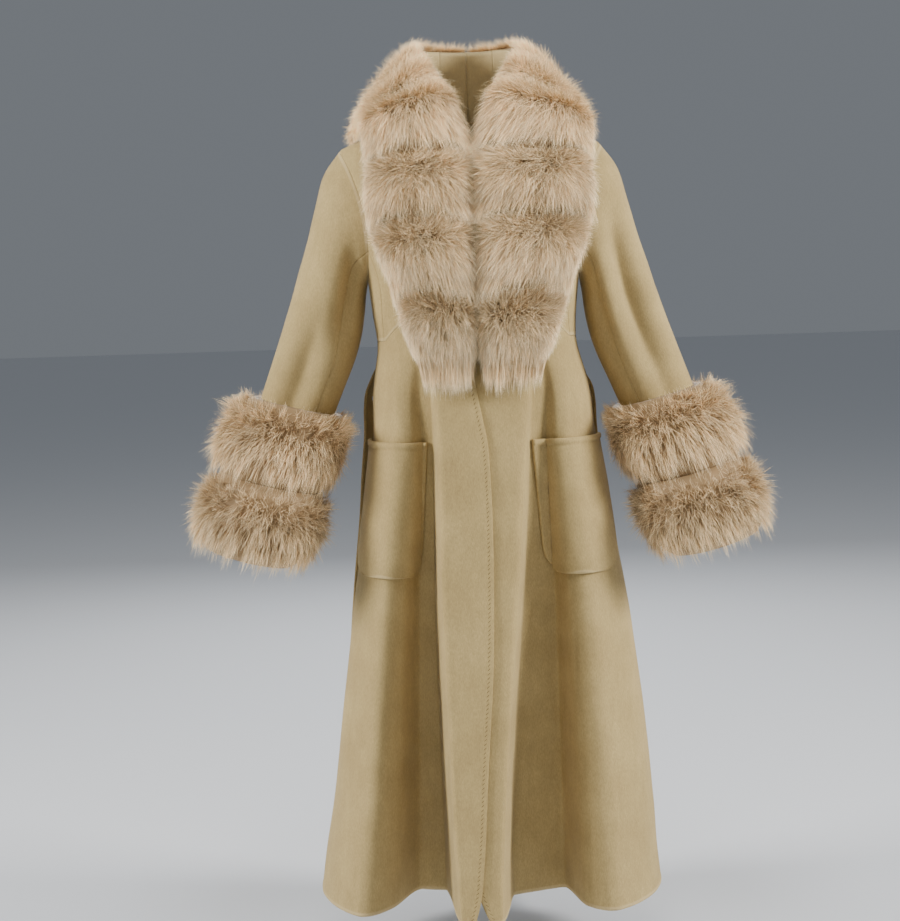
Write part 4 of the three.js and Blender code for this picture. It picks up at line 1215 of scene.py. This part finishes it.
def hairs(surface, rng, band):
    """Tapered ribbons of hair from the core out to a surface(t, p, grow).

    Gives their points, quads and triangles, and each point's depth from root to tip and tone.
    """
    clump, (t_root, p_root), (t_tip, p_tip), long, p_mid, rim = hair_ends(rng, band)
    *_, light = FUR_BANDS[band]
    count = len(clump)
    root = surface(np.clip(t_root, 0.03, 0.97), p_root, CORE)
    tip = surface(t_tip, p_tip, long)
    if band not in CUFF_BANDS:
        inner = np.exp(-((p_mid / 0.15) ** 2)) * (tip[:, 0] < 30)
        tip[:, 0] -= CENTRE_FLUFF * rng.uniform(0, 1, count) * inner
    lead = surface(np.clip(mix(t_root, t_tip, 0.35), 0.02, 0.98), mix(p_root, p_tip, 0.4), 1.0)
    control = mix(root, lead, 0.62)
    path = [root * (1 - u) ** 2 + control * 2 * u * (1 - u) + tip * u**2 for u in HAIR_STEPS]
    center = surface(np.full(count, 0.5), np.clip(p_root, 0, 1), 0.0)
    facing = unit(path[1] - center) + rng.normal(0, 0.45, (count, 3))
    at_root, at_middle = (unit(np.cross(unit(path[k + 1] - path[k]), facing)) for k in (0, 1))
    thick = HAIR_WIDTH * rng.uniform(*HAIR_WIDTHS, count)[:, None]
    at_root, at_middle = at_root * thick * 0.5, at_middle * thick * 0.42
    ribbon = [path[0] - at_root, path[0] + at_root, path[1] - at_middle, path[1] + at_middle, path[2]]
    first = np.arange(count)[:, None] * len(ribbon)
    quads = first + np.array([0, 1, 3, 2])
    tips = first + np.array([2, 3, 4])
    pale = np.where(rng.uniform(0, 1, count) < PALE_SHARE, PALE_TONE, 0)
    tone = rng.uniform(0, CLUMP_TONE, FUR_CLUMPS)[clump] + rng.uniform(0, HAIR_TONE, count)
    tone += pale + TONE_LEAST + rim * RIM_TONE + light
    depth = np.tile(np.repeat(HAIR_STEPS, (2, 2, 1)), count)
    return np.stack(ribbon, axis=1).reshape(-1, 3), quads, tips, depth, np.repeat(tone, len(ribbon))


def fur_piece(band, side, surface, underside, seed):
    """A band of fur: a closed core on its hide, under its hairs."""
    on_cuff = band in CUFF_BANDS
    rows, cols = CUFF_GRID if on_cuff else COLLAR_GRID
    t, p = np.meshgrid(np.linspace(0, 1, rows), np.linspace(0, 1, cols + 1), indexing="ij")
    if on_cuff:
        t, p = t[:, :-1], p[:, :-1]
    outer, inner = surface(t, p, SHELL), underside(t, p)
    faces = wall_faces(*t.shape, ring=on_cuff)
    points, quads, tips, depth, tone = hairs(surface, np.random.default_rng(seed), band)
    start = 2 * t.size
    all_points = np.concatenate([outer.reshape(-1, 3), inner.reshape(-1, 3), points])
    if side == "right":
        all_points = all_points * (-1, 1, 1)
    all_faces = faces.tolist() + (quads + start).tolist() + (tips + start).tolist()
    attributes = {
        "along": np.concatenate([np.full(start, SHELL_DEPTH), depth]),
        "tone": np.concatenate([np.full(start, SHELL_TONE), tone]),
    }
    piece = make_object(f"{band}_{side}_fur", all_points, all_faces, fur, attributes)
    piece.data.materials.append(wool)
    on_hide = np.zeros(len(all_faces), np.int32)
    on_hide[: len(faces)] = faces.min(axis=1) >= start // 2
    piece.data.polygons.foreach_set("material_index", on_hide)
    dress(piece, f"{band}_{side}")


for s, side in enumerate(SIDES):
    for k in range(COLLAR_BANDS):
        surface, underside = partial(collar_surface, side, k), partial(collar_hide, side, k)
        fur_piece(f"collar_{k + 1}", side, surface, underside, FUR_SEED + SIDE_SEED * s + k)
    for k, band in enumerate(CUFF_BANDS):
        surface = partial(cuff_surface, side, band)
        fur_piece(band, side, surface, partial(surface, grow=0.0), FUR_SEED + CUFF_SEED + SIDE_SEED * s + k)


# The camera, at the photograph's viewing angle
camera = place_in_scene("camera", bpy.data.cameras.new("camera"))
camera.data.sensor_fit = "VERTICAL"
camera.data.sensor_height = CAMERA_SENSOR
camera.data.lens = CAMERA_LENS
look = (CAMERA_AIM - CAMERA_FROM).to_track_quat("-Z", "Y").to_matrix().to_4x4()
roll = Matrix.Rotation(math.radians(CAMERA_ROLL), 4, "Z")
camera.matrix_world = Matrix.Translation(CAMERA_FROM) @ look @ roll
bpy.context.scene.camera = camera

# The floor and the light
floor_mesh = bpy.data.meshes.new("floor")
floor_corners = [(x * FLOOR_HALF, y * FLOOR_HALF, 0) for x, y in ((-1, -1), (1, -1), (1, 1), (-1, 1))]
floor_mesh.from_pydata(floor_corners, [], [(0, 1, 2, 3)])
floor_mesh.materials.append(Shading("floor").finish({"Base Color": FLOOR_COLOR, "Roughness": 0.9}))
floor = place_in_scene("floor", floor_mesh)
floor.location.z = FLOOR_Z

for name, place, aim, size, watts, color in LIGHTS:
    light = bpy.data.lights.new(name, "AREA")
    light.size, light.energy, light.color = size, watts, color
    lamp = place_in_scene(name, light)
    lamp.location = place
    lamp.rotation_euler = (Vector(aim) - Vector(place)).to_track_quat("-Z", "Y").to_euler()
sun = bpy.data.lights.new("sun", "SUN")
sun.energy, sun.angle = SUN_STRENGTH, math.radians(SUN_SPREAD)
place_in_scene("sun", sun)
world = bpy.data.worlds.new("studio")
world.use_nodes = True
background = world.node_tree.nodes["Background"]
background.inputs["Color"].default_value = (*WORLD_COLOR, 1)
background.inputs["Strength"].default_value = WORLD_STRENGTH
bpy.context.scene.world = world
